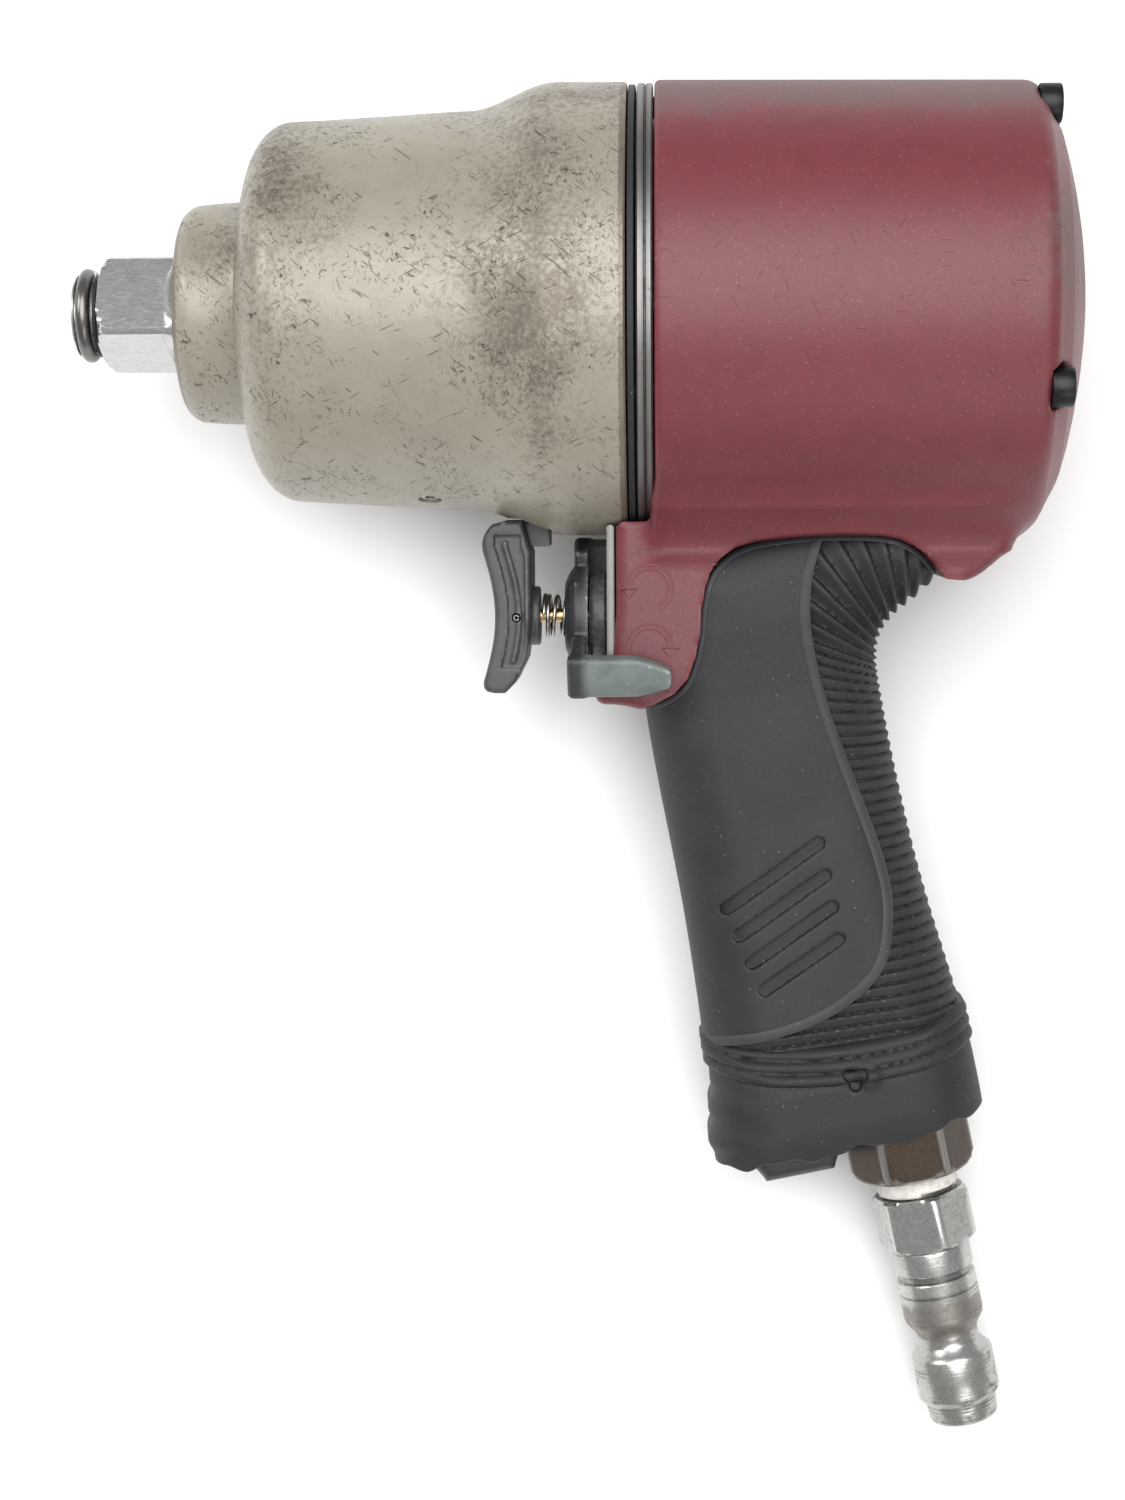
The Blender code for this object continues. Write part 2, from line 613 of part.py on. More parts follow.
def make_rotor(shaft_end, looks):
    front = LINER_FRONT + 2 * GAP
    rear = front + ROTOR_LENGTH
    shaft_front = CAGE_REAR - CAGE_REAR_WALL + PILOT_LENGTH + GAP
    rotor = turned("rotor", [(shaft_front, 0), (shaft_front, SHAFT_R), (front, SHAFT_R), (front, ROTOR_R),
                             (rear, ROTOR_R), (rear, SHAFT_R), (shaft_end, SHAFT_R), (shaft_end, 0)],
                   ROUND, looks["steel"])
    slot_half = VANE_THICKNESS / 2 + GAP
    for number in range(VANE_COUNT):
        angle = 360 * number / VANE_COUNT
        slot = blade(f"cut_vane_{number + 1}", angle, VANE_ROOT_R - GAP, ROTOR_R + 3, slot_half,
                     front - 1, rear + 1)
        combine(rotor, slot)
        blade(f"vane_{number + 1}", angle, VANE_ROOT_R, VANE_TIP_R, VANE_THICKNESS / 2, front + 0.2, rear - 0.2,
              looks["phenolic"])


def blade(name, angle, low, high, half, front, rear, material=None):
    """A flat radial slab at an angle round the barrel's axis."""
    out = Vector(polar(1, angle))
    side = Vector((out.y, -out.x))
    corners = [out * low - side * half, out * high - side * half, out * high + side * half,
               out * low + side * half]
    return prism(name, [tuple(corner) for corner in corners], front, rear, material, axis="X")


# ---------------------------------------------------------------- housing and bolts

def make_bolt_holes():
    """One cutter with a clearance hole for every housing bolt."""
    bm = bmesh.new()
    low, high = CASE_REAR - BOLT_GRIP - 1, HOUSING_REAR
    for angle in BOLT_ANGLES:
        y, z = polar(BOLT_CIRCLE_R, angle)
        place = Matrix.Translation(((low + high) / 2, y, z)) @ Matrix.Rotation(math.pi / 2, 4, "Y")
        bmesh.ops.create_cone(bm, cap_ends=True, segments=TINY, radius1=BOLT_R + GAP, radius2=BOLT_R + GAP,
                              depth=high - low, matrix=place)
    return finish("cut_bolt_holes", bm, None)


def head_seat():
    """Where the bolts' clamping faces lie along the barrel."""
    return HOUSING_REAR - DOME_HEIGHT - HEAD_SINK


def make_bolts(looks):
    seat = head_seat() + GAP
    tip = CASE_REAR - BOLT_GRIP
    for number, angle in enumerate(BOLT_ANGLES):
        y, z = polar(BOLT_CIRCLE_R, angle)
        crown = seat + BOLT_HEAD_HEIGHT
        outline = [(tip, 0), (tip, BOLT_R), (seat, BOLT_R), (seat, BOLT_HEAD_R), (crown - 1.6, BOLT_HEAD_R),
                   (crown - 0.4, BOLT_HEAD_R - 1.4), (crown, BOLT_HEAD_R - 2.8), (crown, 1.6),
                   (crown - 2, 1.4), (crown - 2, 0)]
        turned(f"housing_bolt_{number + 1}", outline, TINY, looks["black_steel"], centre=(0, y, z))


def grip_top_outline():
    """Upper edge of the black grip on the flank, from the front lip to the back of the web."""
    return handle_outline([(18.3, -34.4), (15.6, -25), (7.4, -20), (-3.1, -17.1), (-9.0, -13.6), (-12.2, -6.8),
                           (-11.4, 5), (-9.5, 15.7), (-7.2, 24), (-3.2, 29), (1.4, 31.8), (5.2, 32.4)])


def black_outline():
    """Side outline of everything black on the grip; its lower part lies outside the grip."""
    return grip_top_outline() + handle_outline([(9, 45), (150, 45), (150, -60), (24, -60)])


def back_outline():
    """Side outline of the ribbed back strap and the band under the panel."""
    return handle_outline([(-20, 12), (-9.8, 9.5), (-0.9, 4.3), (9.7, 2.2), (20.8, 2.2), (32.4, 3.6), (46.4, 6),
                           (58, 7.8), (69.5, 7.9), (77.2, 6.4), (85.4, 1.5), (90, -7.1), (91.2, -18),
                           (90.6, -60), (150, -60), (150, 60), (-20, 60)])


def neck_outline():
    """Side outline of the red neck between the barrel and the grip."""
    lip = tuple(on_handle(18.3, -34.4).xy)
    below = tuple(on_handle(40, 0).xy)
    web = tuple(on_handle(5.9, 36.9).xy)
    return [(NECK_FRONT, -20), (NECK_FRONT, -79), (-10.6, -79.5), (-10.9, -83.8), (-5.5, -83.6), lip,
            below, web, (72.6, -55), (75.8, -50.7), (79.8, -41), (83.9, -31.4), (84, -20)]


def make_housing(bolt_holes, looks):
    edge = HOUSING_FRONT + HOUSING_LENGTH
    dome_r = (HOUSING_R ** 2 + DOME_HEIGHT ** 2) / (2 * DOME_HEIGHT)
    outline = [(HOUSING_FRONT, 0), (HOUSING_FRONT, HOUSING_R)]
    outline += arc((edge - DOME_EDGE, HOUSING_R - DOME_EDGE), DOME_EDGE, 90, 20, 3)
    for radius in (37, 25, 12):
        outline.append((HOUSING_REAR - dome_r + math.sqrt(dome_r ** 2 - radius ** 2), radius))
    outline.append((HOUSING_REAR, 0))
    housing = turned("motor_housing", outline, FINE, looks["red"])

    neck = prism("housing_neck", neck_outline(), -NECK_HALF, NECK_HALF)
    flare = prism("housing_flare", [(-36, -FLARE_HALF), (-43, -FLARE_HALF), (-51, -NECK_HALF + 0.4),
                                    (-51, NECK_HALF - 0.4), (-43, FLARE_HALF), (-36, FLARE_HALF)],
                  HOUSING_FRONT + 1, HOUSING_FRONT + HOUSING_LENGTH - 7, axis="X")
    join(neck, flare)
    clearance = turned("cut_flange_room", [(NOSE_FACE, 0), (NOSE_FACE, HOUSING_R + GAP),
                                           (HOUSING_FRONT + 1, HOUSING_R + GAP), (HOUSING_FRONT + 1, 0)], FINE)
    combine(neck, clearance)
    combine(neck, prism("cut_black", outset(black_outline(), GAP), -60, 60))
    join(housing, neck)

    rows = [oval(s, front, back, half, SLEEVE_WALL) for s, front, back, half in GRIP_SECTIONS]
    rows += [oval(s, front, back, half, BOOT_WALL - 0.4) for s, front, back, half in CORE_TAIL]
    join(housing, lofted("housing_handle", rows))

    cup = turned("cut_cup", [(HOUSING_FRONT - 9, 0), (HOUSING_FRONT - 9, LINER_R + GAP), (CUP_END, LINER_R + GAP),
                             (CUP_END, 0)], FINE)
    combine(housing, cup)
    combine(housing, bolt_holes)
    combine(housing, make_scallops())
    combine(housing, valve_bore())
    passage = turned("cut_inlet", [(-3, 0), (-3, PASSAGE_R), (CORE_END - INLET_SHANK_LENGTH, PASSAGE_R),
                                   (CORE_END - INLET_SHANK_LENGTH, INLET_SHANK_R + GAP),
                                   (CORE_END + 4, INLET_SHANK_R + GAP), (CORE_END + 4, 0)], SMALL)
    combine(housing, along_handle(passage))
    exhaust = turned("cut_exhaust", [(22, 0), (22, 7.6), (CORE_END + 4, 7.6), (CORE_END + 4, 0)], SMALL)
    combine(housing, along_handle(exhaust, -20.0))
    muffler = turned("exhaust_muffler", [(84, 0), (84, 7.2), (CORE_END - 2, 7.2), (CORE_END - 2, 0)], SMALL,
                     looks["felt"])
    along_handle(muffler, -20.0)
    return housing


def make_scallops():
    """Pockets in the domed end that show the bolt heads."""
    bm = bmesh.new()
    low, high = head_seat(), HOUSING_REAR + 6
    for angle in BOLT_ANGLES:
        y, z = polar(BOLT_CIRCLE_R, angle)
        place = Matrix.Translation(((low + high) / 2, y, z)) @ Matrix.Rotation(math.pi / 2, 4, "Y")
        bmesh.ops.create_cone(bm, cap_ends=True, segments=SMALL, radius1=BOLT_HEAD_R + 1, radius2=BOLT_HEAD_R + 2,
                              depth=high - low, matrix=place)
    return finish("cut_scallops", bm, None)


def stem_front():
    """Front of the throttle valve's stem at the rod's level."""
    down = (HANDLE_AT[1] + BACK.y * INLET_OFFSET - ROD_LEVEL) / -DOWN.y
    centre = HANDLE_AT[0] + BACK.x * INLET_OFFSET + DOWN.x * down
    return centre - STEM_R / math.cos(LEAN)


def valve_bore():
    """Stepped bore for the reverse valve and the trigger's rod."""
    deep = SEAT_STEP + GAP
    return turned("cut_valve_bore", [(-30, 0), (-30, VALVE_SHANK_R + GAP), (deep, VALVE_SHANK_R + GAP),
                                     (deep, ROD_R + 0.6), (stem_front(), ROD_R + 0.6), (stem_front(), 0)],
                  SMALL, centre=KNOB_AXIS)


# ---------------------------------------------------------------- grip, boot and inlet

def make_grip(looks):
    inset = SLEEVE_WALL - GAP
    rows = [oval(GRIP_SECTIONS[0][0] - 2, *GRIP_SECTIONS[0][1:], inset)]
    rows += [oval(*section, inset) for section in GRIP_SECTIONS]
    rows += [oval(GRIP_LENGTH + 5, *GRIP_SECTIONS[-1][1:], inset)]
    hollow = lofted("cut_grip_hollow", rows)
    black = prism("keep_black", black_outline(), -60, 60)
    behind = prism("cut_behind", back_outline(), -60, 60)
    ahead = prism("cut_ahead", outset(back_outline(), GAP), -60, 60)
    for name, material, tool, operation in (("grip_panel", looks["rubber"], ahead, "DIFFERENCE"),
                                            ("grip_backstrap", looks["rubber"], behind, "INTERSECT")):
        rows = [oval(*section) for section in GRIP_SECTIONS]
        piece = lofted(name, rows, material)
        combine(piece, hollow)
        combine(piece, black, "INTERSECT")
        combine(piece, tool, operation)


def make_boot(looks):
    top = GRIP_LENGTH + GAP
    rows = []
    for step in range(2 * BEAD_COUNT + 1):
        swell = BEAD if step % 2 else 0.0
        rows.append(oval(top + 1.3 * step, -37.2 - swell, 20.2 + swell, 20.6 + swell))
    below = top + 2.6 * BEAD_COUNT
    end = GRIP_LENGTH + BOOT_LENGTH
    rows += [oval(below + 2.5, -37.8, 20.3, BOOT_HALF - 0.8), oval(below + 9, -38.6, 20.4, BOOT_HALF),
             oval(below + 14, -40.6, 20.4, BOOT_HALF), oval(end, -40.4, 20.2, BOOT_HALF)]
    boot = lofted("handle_boot", rows, looks["rubber"])
    inner = [oval(top - 3, *GRIP_SECTIONS[-1][1:], SLEEVE_WALL - GAP),
             oval(CORE_END, *CORE_TAIL[0][1:], BOOT_WALL - 0.4 - GAP),
             oval(end + 4, CORE_TAIL[0][1] - 1, CORE_TAIL[0][2], CORE_TAIL[0][3], BOOT_WALL - 0.4 - GAP)]
    combine(boot, lofted("cut_boot_hollow", inner))

    deflector = lofted("exhaust_deflector", [oval(CORE_END + GAP, -33.0, -11.5, 13.6, count=20),
                                             oval(CORE_END + 6, -32.5, -11.5, 13.2, count=20),
                                             oval(CORE_END + 9.5, -27.0, -12.5, 11.0, count=20)], looks["black"])
    vent = lofted("cut_vent", [oval(CORE_END - 1, -28.5, -17.5, 10.0, count=12),
                               oval(CORE_END + 12, -24.0, -16.0, 7.0, count=12)])
    combine(deflector, vent)


def make_inlet(looks):
    seat = CORE_END + GAP
    hex_end = seat + INLET_HEX_LENGTH
    bore = PLUG_THREAD_R + GAP
    shank = [(seat - INLET_SHANK_LENGTH + 4, 0), (seat - INLET_SHANK_LENGTH + 4, INLET_SHANK_R),
             (seat + 1, INLET_SHANK_R), (seat + 1, 0)]
    bushing = prism("inlet_bushing", hexagon(INLET_HEX, 90), seat, hex_end, looks["brown_steel"], axis="X")
    join(bushing, turned("inlet_shank", shank, SMALL))
    cone = turned("cut_hex_chamfer", [(hex_end + 1, 17), (seat + 8, 17), (seat + 8, INLET_HEX / math.sqrt(3) + 1),
                                      (hex_end - 1.8, INLET_HEX / math.sqrt(3)), (hex_end + 1, INLET_HEX / 2 - 0.6)],
                  ROUND)
    combine(bushing, cone)
    through = turned("cut_inlet_bore", [(70, 0), (70, PLUG_BORE_R + 1), (seat - 1, PLUG_BORE_R + 1), (seat - 1, bore),
                                        (hex_end + 5, bore), (hex_end + 5, 0)], SMALL)
    combine(bushing, through)
    for item in (bushing, cone, through, bpy.data.objects["inlet_shank"]):
        along_handle(item)

    top = seat - INLET_SHANK_LENGTH + 4
    screen = turned("inlet_screen", ring(top - 2.2, top - GAP, 2.4, PASSAGE_R - GAP), SMALL, looks["bronze"])
    along_handle(screen)

    thread_start = seat + 4
    hex_start = hex_end + 4.4
    hex_stop = hex_start + PLUG_HEX_LENGTH
    tip = hex_end + PLUG_LENGTH
    body = hex_stop + 6
    neck = tip - 20
    outline = [(thread_start, PLUG_BORE_R), (thread_start, PLUG_THREAD_R - 0.8), (hex_start - 0.5, PLUG_THREAD_R),
               (hex_start + 1, PLUG_THREAD_R), (hex_stop - 1, PLUG_BODY_R), (body, PLUG_BODY_R),
               (body + 0.4, PLUG_BODY_R - 0.7), (body + 1.2, PLUG_BODY_R - 0.7), (body + 1.6, PLUG_BODY_R),
               (neck - 3, PLUG_BODY_R - 0.2), (neck, PLUG_NECK_R), (neck + 2.2, PLUG_NECK_R),
               (neck + 4.5, PLUG_HEAD_R), (tip - 6, PLUG_HEAD_R), (tip - 4.5, PLUG_HEAD_R - 1.3),
               (tip - 1, PLUG_HEAD_R - 1.6), (tip, PLUG_HEAD_R - 2.4), (tip, PLUG_BORE_R)]
    plug = turned("air_plug", outline, ROUND, looks["zinc"])
    nut = prism("plug_hex", hexagon(PLUG_HEX, 74), hex_start, hex_stop, axis="X")
    nut_bore = turned("cut_nut_bore", [(hex_start - 2, 0), (hex_start - 2, PLUG_BORE_R + 1),
                                       (hex_stop + 2, PLUG_BORE_R + 1), (hex_stop + 2, 0)], SMALL)
    combine(nut, nut_bore)
    join(plug, nut)
    for item in (plug, nut, nut_bore):
        along_handle(item)


# ---------------------------------------------------------------- throttle, trigger and reverse

def make_trigger(looks):
    outline = [(-31.8, TRIGGER_TOP), (TRIGGER_FACE, TRIGGER_TOP), (TRIGGER_FACE, -72.4), (-28.9, -81.8),
               (-33.6, -81.8), (-35.1, -80)]
    outline += [(-35.1 + 2.3 * math.sin(math.pi * step / 8), -80 + 31 * step / 8) for step in range(1, 9)]
    trigger = prism("trigger", outline, -TRIGGER_HALF, TRIGGER_HALF, looks["charcoal"], KNOB_AXIS)
    boss = turned("trigger_boss", [(TRIGGER_FACE - 2, 0), (TRIGGER_FACE - 2, 6.4), (TRIGGER_FACE + 1.6, 6.4),
                                   (TRIGGER_FACE + 1.6, 0)], SMALL, centre=KNOB_AXIS)
    join(trigger, boss)
    lug = slab("trigger_lug", (TRIGGER_FACE - 2, TRIGGER_TOP - LUG_DEPTH, -LUG_HALF),
               (TRIGGER_FACE + LUG_REACH, TRIGGER_TOP - GAP, LUG_HALF))
    join(trigger, lug)
    rod_front = TRIGGER_FACE - 5.7
    combine(trigger, turned("cut_rod", [(rod_front - GAP, 0), (rod_front - GAP, ROD_R + GAP), (-15, ROD_R + GAP),
                                        (-15, 0)], TINY, centre=KNOB_AXIS))
    pin_at = (TRIGGER_FACE - 3.2, ROD_LEVEL)
    combine(trigger, prism("cut_roll_pin", arc(pin_at, 0.9, 0, 315, 7), -30, 30))

    rod_rear = stem_front() - GAP
    rod = turned("trigger_rod", [(rod_front, 0), (rod_front, ROD_R), (rod_rear - 0.6, ROD_R),
                                 (rod_rear, ROD_R - 0.6), (rod_rear, 0)], TINY, looks["brass"], KNOB_AXIS, KNOB_AXIS)
    combine(rod, bpy.data.objects["cut_roll_pin"])
    prism("trigger_roll_pin", arc(pin_at, 0.6, 0, 315, 7), -TRIGGER_HALF + 0.1, TRIGGER_HALF - 0.1, looks["steel"],
          KNOB_AXIS)
    coil("trigger_spring", TRIGGER_FACE + 1.6 + 0.8, KNOB_FRONT + 4.2, 4.5, 0.4, 3.5, KNOB_AXIS, looks["steel"])


def make_reverse(looks):
    """Knob, two arms and two finger tabs that turn as one piece about the rod."""
    lever = turned("reverse_lever", [(KNOB_FRONT + 1.2, 5.8), (KNOB_FRONT, 6.4), (KNOB_FRONT, 7.6),
                                     (KNOB_FRONT + 2.2, KNOB_R), (KNOB_REAR, KNOB_R), (KNOB_REAR, ROD_R + GAP),
                                     (KNOB_FRONT + 4.8, ROD_R + GAP), (KNOB_FRONT + 4.8, 5.8)],
                   ROUND, looks["charcoal"], KNOB_AXIS, KNOB_AXIS)
    lobe = prism("lever_lobe", shift(sector(5.9, KNOB_LOBE_R, 90, 16)), KNOB_FRONT + 2.6, KNOB_REAR - 0.1, axis="X")
    join(lever, lobe)
    for number, middle in enumerate((-TAB_ANGLE, 180 - TAB_ANGLE)):
        arm = prism(f"lever_arm_{number + 1}", shift(sector(5.9, TAB_OUTER_R - 0.5, middle, TAB_SPREAD, 3)),
                    KNOB_FRONT + 1.7, KNOB_REAR - 0.2, axis="X")
        tab = prism(f"lever_tab_{number + 1}", shift(sector(TAB_INNER_R, TAB_OUTER_R, middle, TAB_SPREAD, 3)),
                    KNOB_FRONT + 1.3, TAB_REACH, axis="X")
        join(lever, arm)
        join(lever, tab)
    valve = KNOB_REAR + GAP
    turned("reverse_valve", ring(valve, SEAT_STEP - 2.5, ROD_R + GAP, REVERSE_VALVE_R), SMALL, looks["brass"],
           KNOB_AXIS, KNOB_AXIS)


def shift(outline):
    """Move a (y, z) outline onto the rod's axis."""
    return [(y + ROD_LEVEL, z) for y, z in outline]


def make_valve_parts(looks):
    plate_rear = NECK_FRONT - GAP
    plate_front = plate_rear - VALVE_PLATE_THICKNESS
    plate = prism("valve_plate", [(-40, -17.5), (-77, -17.5), (-77, 17.5), (-40, 17.5)], plate_front, plate_rear,
                  looks["zinc"], axis="X")
    combine(plate, bpy.data.objects["cut_flange_room"])
    combine(plate, bpy.data.objects["cut_valve_bore"])
    bore = REVERSE_VALVE_R + GAP
    flange_rear = plate_front - GAP
    turned("valve_bushing", [(KNOB_REAR + GAP, bore), (KNOB_REAR + GAP, VALVE_BUSHING_R), (flange_rear, VALVE_BUSHING_R),
                             (flange_rear, VALVE_SHANK_R), (SEAT_STEP, VALVE_SHANK_R), (SEAT_STEP, ROD_R + GAP),
                             (SEAT_STEP - 2, ROD_R + GAP), (SEAT_STEP - 2, bore)],
           SMALL, looks["black"], centre=KNOB_AXIS)

    seat = turned("throttle_seat", ring(SEAT_AT - SEAT_THICKNESS, SEAT_AT, STEM_R + 2.7, PASSAGE_R - GAP), SMALL,
                  looks["rubber"])
    along_handle(seat)
    head = SEAT_AT + GAP
    stem_top = 2.5
    pivot = on_handle(head, INLET_OFFSET - TIP_HEAD_R)
    valve = turned("throttle_valve", [(stem_top, 0), (stem_top, STEM_R), (head, STEM_R), (head, TIP_HEAD_R),
                                      (head + TIP_HEAD_THICKNESS, TIP_HEAD_R - 0.6), (head + TIP_HEAD_THICKNESS, 0)],
                   SMALL, looks["brass"])
    along_handle(valve)
    valve.data.transform(Matrix.Translation(-pivot * MM))
    valve.location = pivot * MM
    spring_top = head + TIP_HEAD_THICKNESS + 2.4
    spring = coil("throttle_spring", spring_top, spring_top + 9, 6.0, 0.5, 3.5, (0, 0, 0), looks["steel"])
    along_handle(spring)


# ---------------------------------------------------------------- assembly

def lowest_roll():
    """Roll about X at which barrel and boot both touch the floor."""
    reach = -on_handle(GRIP_LENGTH + BOOT_LENGTH, -10).y
    return math.asin(HOUSING_R / math.hypot(reach, BOOT_HALF)) - math.atan2(BOOT_HALF, reach)


def stand_on_floor(frame):
    """Put the middle of the object's footprint at the origin."""
    frame.rotation_euler = (lowest_roll(), 0, 0)
    bpy.context.view_layer.update()
    graph = bpy.context.evaluated_depsgraph_get()
    corners = []
    for item in bpy.context.scene.objects:
        if item.type == "MESH" and not item.hide_render:
            solid = item.evaluated_get(graph)
            corners += [solid.matrix_world @ vertex.co for vertex in solid.data.vertices]
    low = Vector([min(corner[axis] for corner in corners) for axis in range(3)])
    high = Vector([max(corner[axis] for corner in corners) for axis in range(3)])
    frame.location = (-(low.x + high.x) / 2, -(low.y + high.y) / 2, -low.z)


def main():
    clear_scene()
    frame = bpy.data.objects.new("tool_frame", None)
    bpy.context.scene.collection.objects.link(frame)
    looks = {"paint": look("case_paint", (0.38, 0.35, 0.29), 0.5, 0.2),
             "red": look("red_composite", (0.27, 0.05, 0.065), 0.45),
             "rubber": look("black_rubber", (0.04, 0.04, 0.045), 0.7),
             "black": look("black_plastic", (0.02, 0.02, 0.025), 0.45),
             "charcoal": look("charcoal_plastic", (0.09, 0.09, 0.095), 0.45),
             "bright_steel": look("bright_steel", (0.6, 0.6, 0.6), 0.25, 1.0),
             "steel": look("steel", (0.42, 0.42, 0.42), 0.35, 1.0),
             "dark_steel": look("dark_steel", (0.12, 0.11, 0.1), 0.4, 1.0),
             "black_steel": look("black_oxide_steel", (0.03, 0.03, 0.033), 0.45, 1.0),
             "brown_steel": look("brown_steel", (0.13, 0.09, 0.07), 0.45, 1.0),
             "zinc": look("zinc_plate", (0.55, 0.56, 0.56), 0.3, 1.0),
             "aluminium": look("aluminium", (0.5, 0.5, 0.5), 0.4, 1.0),
             "bronze": look("sintered_bronze", (0.42, 0.26, 0.1), 0.5, 1.0),
             "brass": look("brass", (0.6, 0.42, 0.16), 0.3, 1.0),
             "phenolic": look("phenolic", (0.22, 0.1, 0.04), 0.6),
             "felt": look("felt", (0.3, 0.28, 0.24), 0.95)}
    bolt_holes = make_bolt_holes()
    make_hammer_case(bolt_holes, looks["paint"])
    make_case_fittings(bolt_holes, looks)
    make_anvil(looks)
    make_cage(looks)
    make_hammer(0, looks)
    make_hammer(1, looks)
    make_motor(bolt_holes, looks)
    make_housing(bolt_holes, looks)
    make_bolts(looks)
    make_grip(looks)
    make_boot(looks)
    make_inlet(looks)
    make_trigger(looks)
    make_reverse(looks)
    make_valve_parts(looks)
    stand_on_floor(frame)


main()
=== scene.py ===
"""Looks of a pneumatic impact wrench with a pistol grip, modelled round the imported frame.

Tool axes: X along the barrel to the rear, Y away from the handle, Z out of the flank that is up.
Every piece is made in tool millimetres and placed by one matrix that comes from the frame's joints.
"""

import json
import math

import bmesh
import bpy
import numpy as np
from bpy.props import FloatProperty, FloatVectorProperty, IntProperty, PointerProperty
from mathutils import Euler, Matrix, Vector


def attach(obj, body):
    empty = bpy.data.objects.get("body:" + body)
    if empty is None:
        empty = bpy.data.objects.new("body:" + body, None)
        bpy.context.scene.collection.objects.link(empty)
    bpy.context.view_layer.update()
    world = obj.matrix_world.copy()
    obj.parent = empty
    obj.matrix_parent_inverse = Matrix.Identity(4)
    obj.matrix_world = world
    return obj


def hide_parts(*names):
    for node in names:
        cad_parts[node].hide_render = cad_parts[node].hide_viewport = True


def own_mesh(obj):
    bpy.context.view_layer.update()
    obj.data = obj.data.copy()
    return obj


bl_info = {
    "name": "Impact Wrench Looks",
    "version": (1, 0, 0),
    "blender": (4, 5, 0),
    "location": "View3D > Sidebar > Wrench",
    "description": "Models and paints the visible pieces of an impact wrench",
    "category": "Object",
}

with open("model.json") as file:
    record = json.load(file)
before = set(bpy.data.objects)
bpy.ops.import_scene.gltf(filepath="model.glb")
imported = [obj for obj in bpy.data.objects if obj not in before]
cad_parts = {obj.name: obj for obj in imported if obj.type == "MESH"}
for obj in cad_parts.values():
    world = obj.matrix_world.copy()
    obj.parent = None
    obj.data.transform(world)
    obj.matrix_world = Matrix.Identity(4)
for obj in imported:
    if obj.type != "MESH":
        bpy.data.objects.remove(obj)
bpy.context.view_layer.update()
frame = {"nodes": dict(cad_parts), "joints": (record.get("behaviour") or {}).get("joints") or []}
MM = 0.001
JOINTS = {joint["name"]: joint for joint in frame["joints"]}


# ---------------------------------------------------------------- places from the frame

def tool_matrix():
    """Tool axes and origin in the frame, from the barrel's axis and the reverse knob's."""
    barrel = Vector(JOINTS["rotor_spin"]["pos_m"])
    along = Vector(JOINTS["rotor_spin"]["axis"])
    up = barrel - Vector(JOINTS["reverse_turn"]["pos_m"])
    up = (up - up.project(along)).normalized()
    matrix = Matrix((along, up, along.cross(up))).transposed().to_4x4()
    matrix.translation = barrel
    return matrix


TOOL = tool_matrix()


def reach(node):
    """Lowest and highest corner of a CAD node in tool millimetres."""
    mesh = frame["nodes"][node].data
    places = np.empty(len(mesh.vertices) * 3)
    mesh.vertices.foreach_get("co", places)
    back = np.array(TOOL.inverted())
    places = (places.reshape(-1, 3) @ back[:3, :3].T + back[:3, 3]) / MM
    return places.min(0), places.max(0)


NOSE_FACE, CASE_REAR = reach("hammer_case")[0][0], reach("hammer_case")[1][0]
GASKET_FRONT, GASKET_REAR = reach("case_gasket")[0][0], reach("case_gasket")[1][0]
PLATE_REAR = reach("cylinder_liner")[0][0] - 0.3
HOUSING_FRONT, HOUSING_REAR = PLATE_REAR + 0.3, reach("motor_housing")[1][0]
HOUSING_R = reach("motor_housing")[1][1]
FLANGE_R = reach("hammer_case")[1][1]
DRIVE_TIP = reach("anvil")[0][0]
CUP_R = reach("cylinder_liner")[1][1] + 0.3
CUP_END = HOUSING_REAR - 20.1
ROD_LEVEL = float(((TOOL.inverted() @ Vector(JOINTS["reverse_turn"]["pos_m"])) / MM).y)
TRIGGER_LOW, TRIGGER_HIGH = reach("trigger")
KNOB_FRONT, TAB_END = reach("reverse_lever")[0][0], reach("reverse_lever")[1][0]
BUSHING_LOW, BUSHING_HIGH = reach("valve_bushing")
VALVE_PLATE_LOW, VALVE_PLATE_HIGH = reach("valve_plate")

# The handle leans back; s runs down it and e across it towards its back
HANDLE_LEAN = math.radians(11.7)
HANDLE_AT = np.array((30.0, -60.0))
DOWN = np.array((math.sin(HANDLE_LEAN), -math.cos(HANDLE_LEAN)))
BACK = np.array((math.cos(HANDLE_LEAN), math.sin(HANDLE_LEAN)))
INLET_OFFSET = 2.6
NECK_HALF = 19.5
BOLT_ANGLES = (66, -24, -114, -204)
BOLT_CIRCLE = 44.4
BOLT_HEAD = 4.6
BOLT_SEAT = reach("housing_bolt_1")[1][0] - BOLT_HEAD
DRIVE_LENGTH = 18.0
JOURNAL_R = 12.8
SHANK_ROOM_R = 8.3
TRIGGER_DEPTH = 10.8
BOOT_LAP = 1.2
SLEEVE_THICKNESS, PANEL_THICKNESS = 2.4, 1.9


def on_handle(s, e):
    """A tool (x, y) point from a place down the handle and across it."""
    return HANDLE_AT + DOWN * s + BACK * e


def handle_outline(pairs):
    """Tool (x, y) points from places down and across the handle."""
    return np.array([on_handle(s, e) for s, e in pairs])


def handle_places(points):
    """How far down and across the handle each tool point is."""
    away = points[:, :2] - HANDLE_AT
    return away @ DOWN, away @ BACK


def inlet_matrix():
    """Takes a piece turned about X onto the inlet's axis, its X running down the handle."""
    base = on_handle(0, INLET_OFFSET)
    down = Vector((*DOWN, 0))
    out = Vector((0, 0, 1))
    matrix = Matrix((down, out.cross(down), out)).transposed().to_4x4()
    matrix.translation = Vector((*base, 0))
    return matrix


INLET = inlet_matrix()


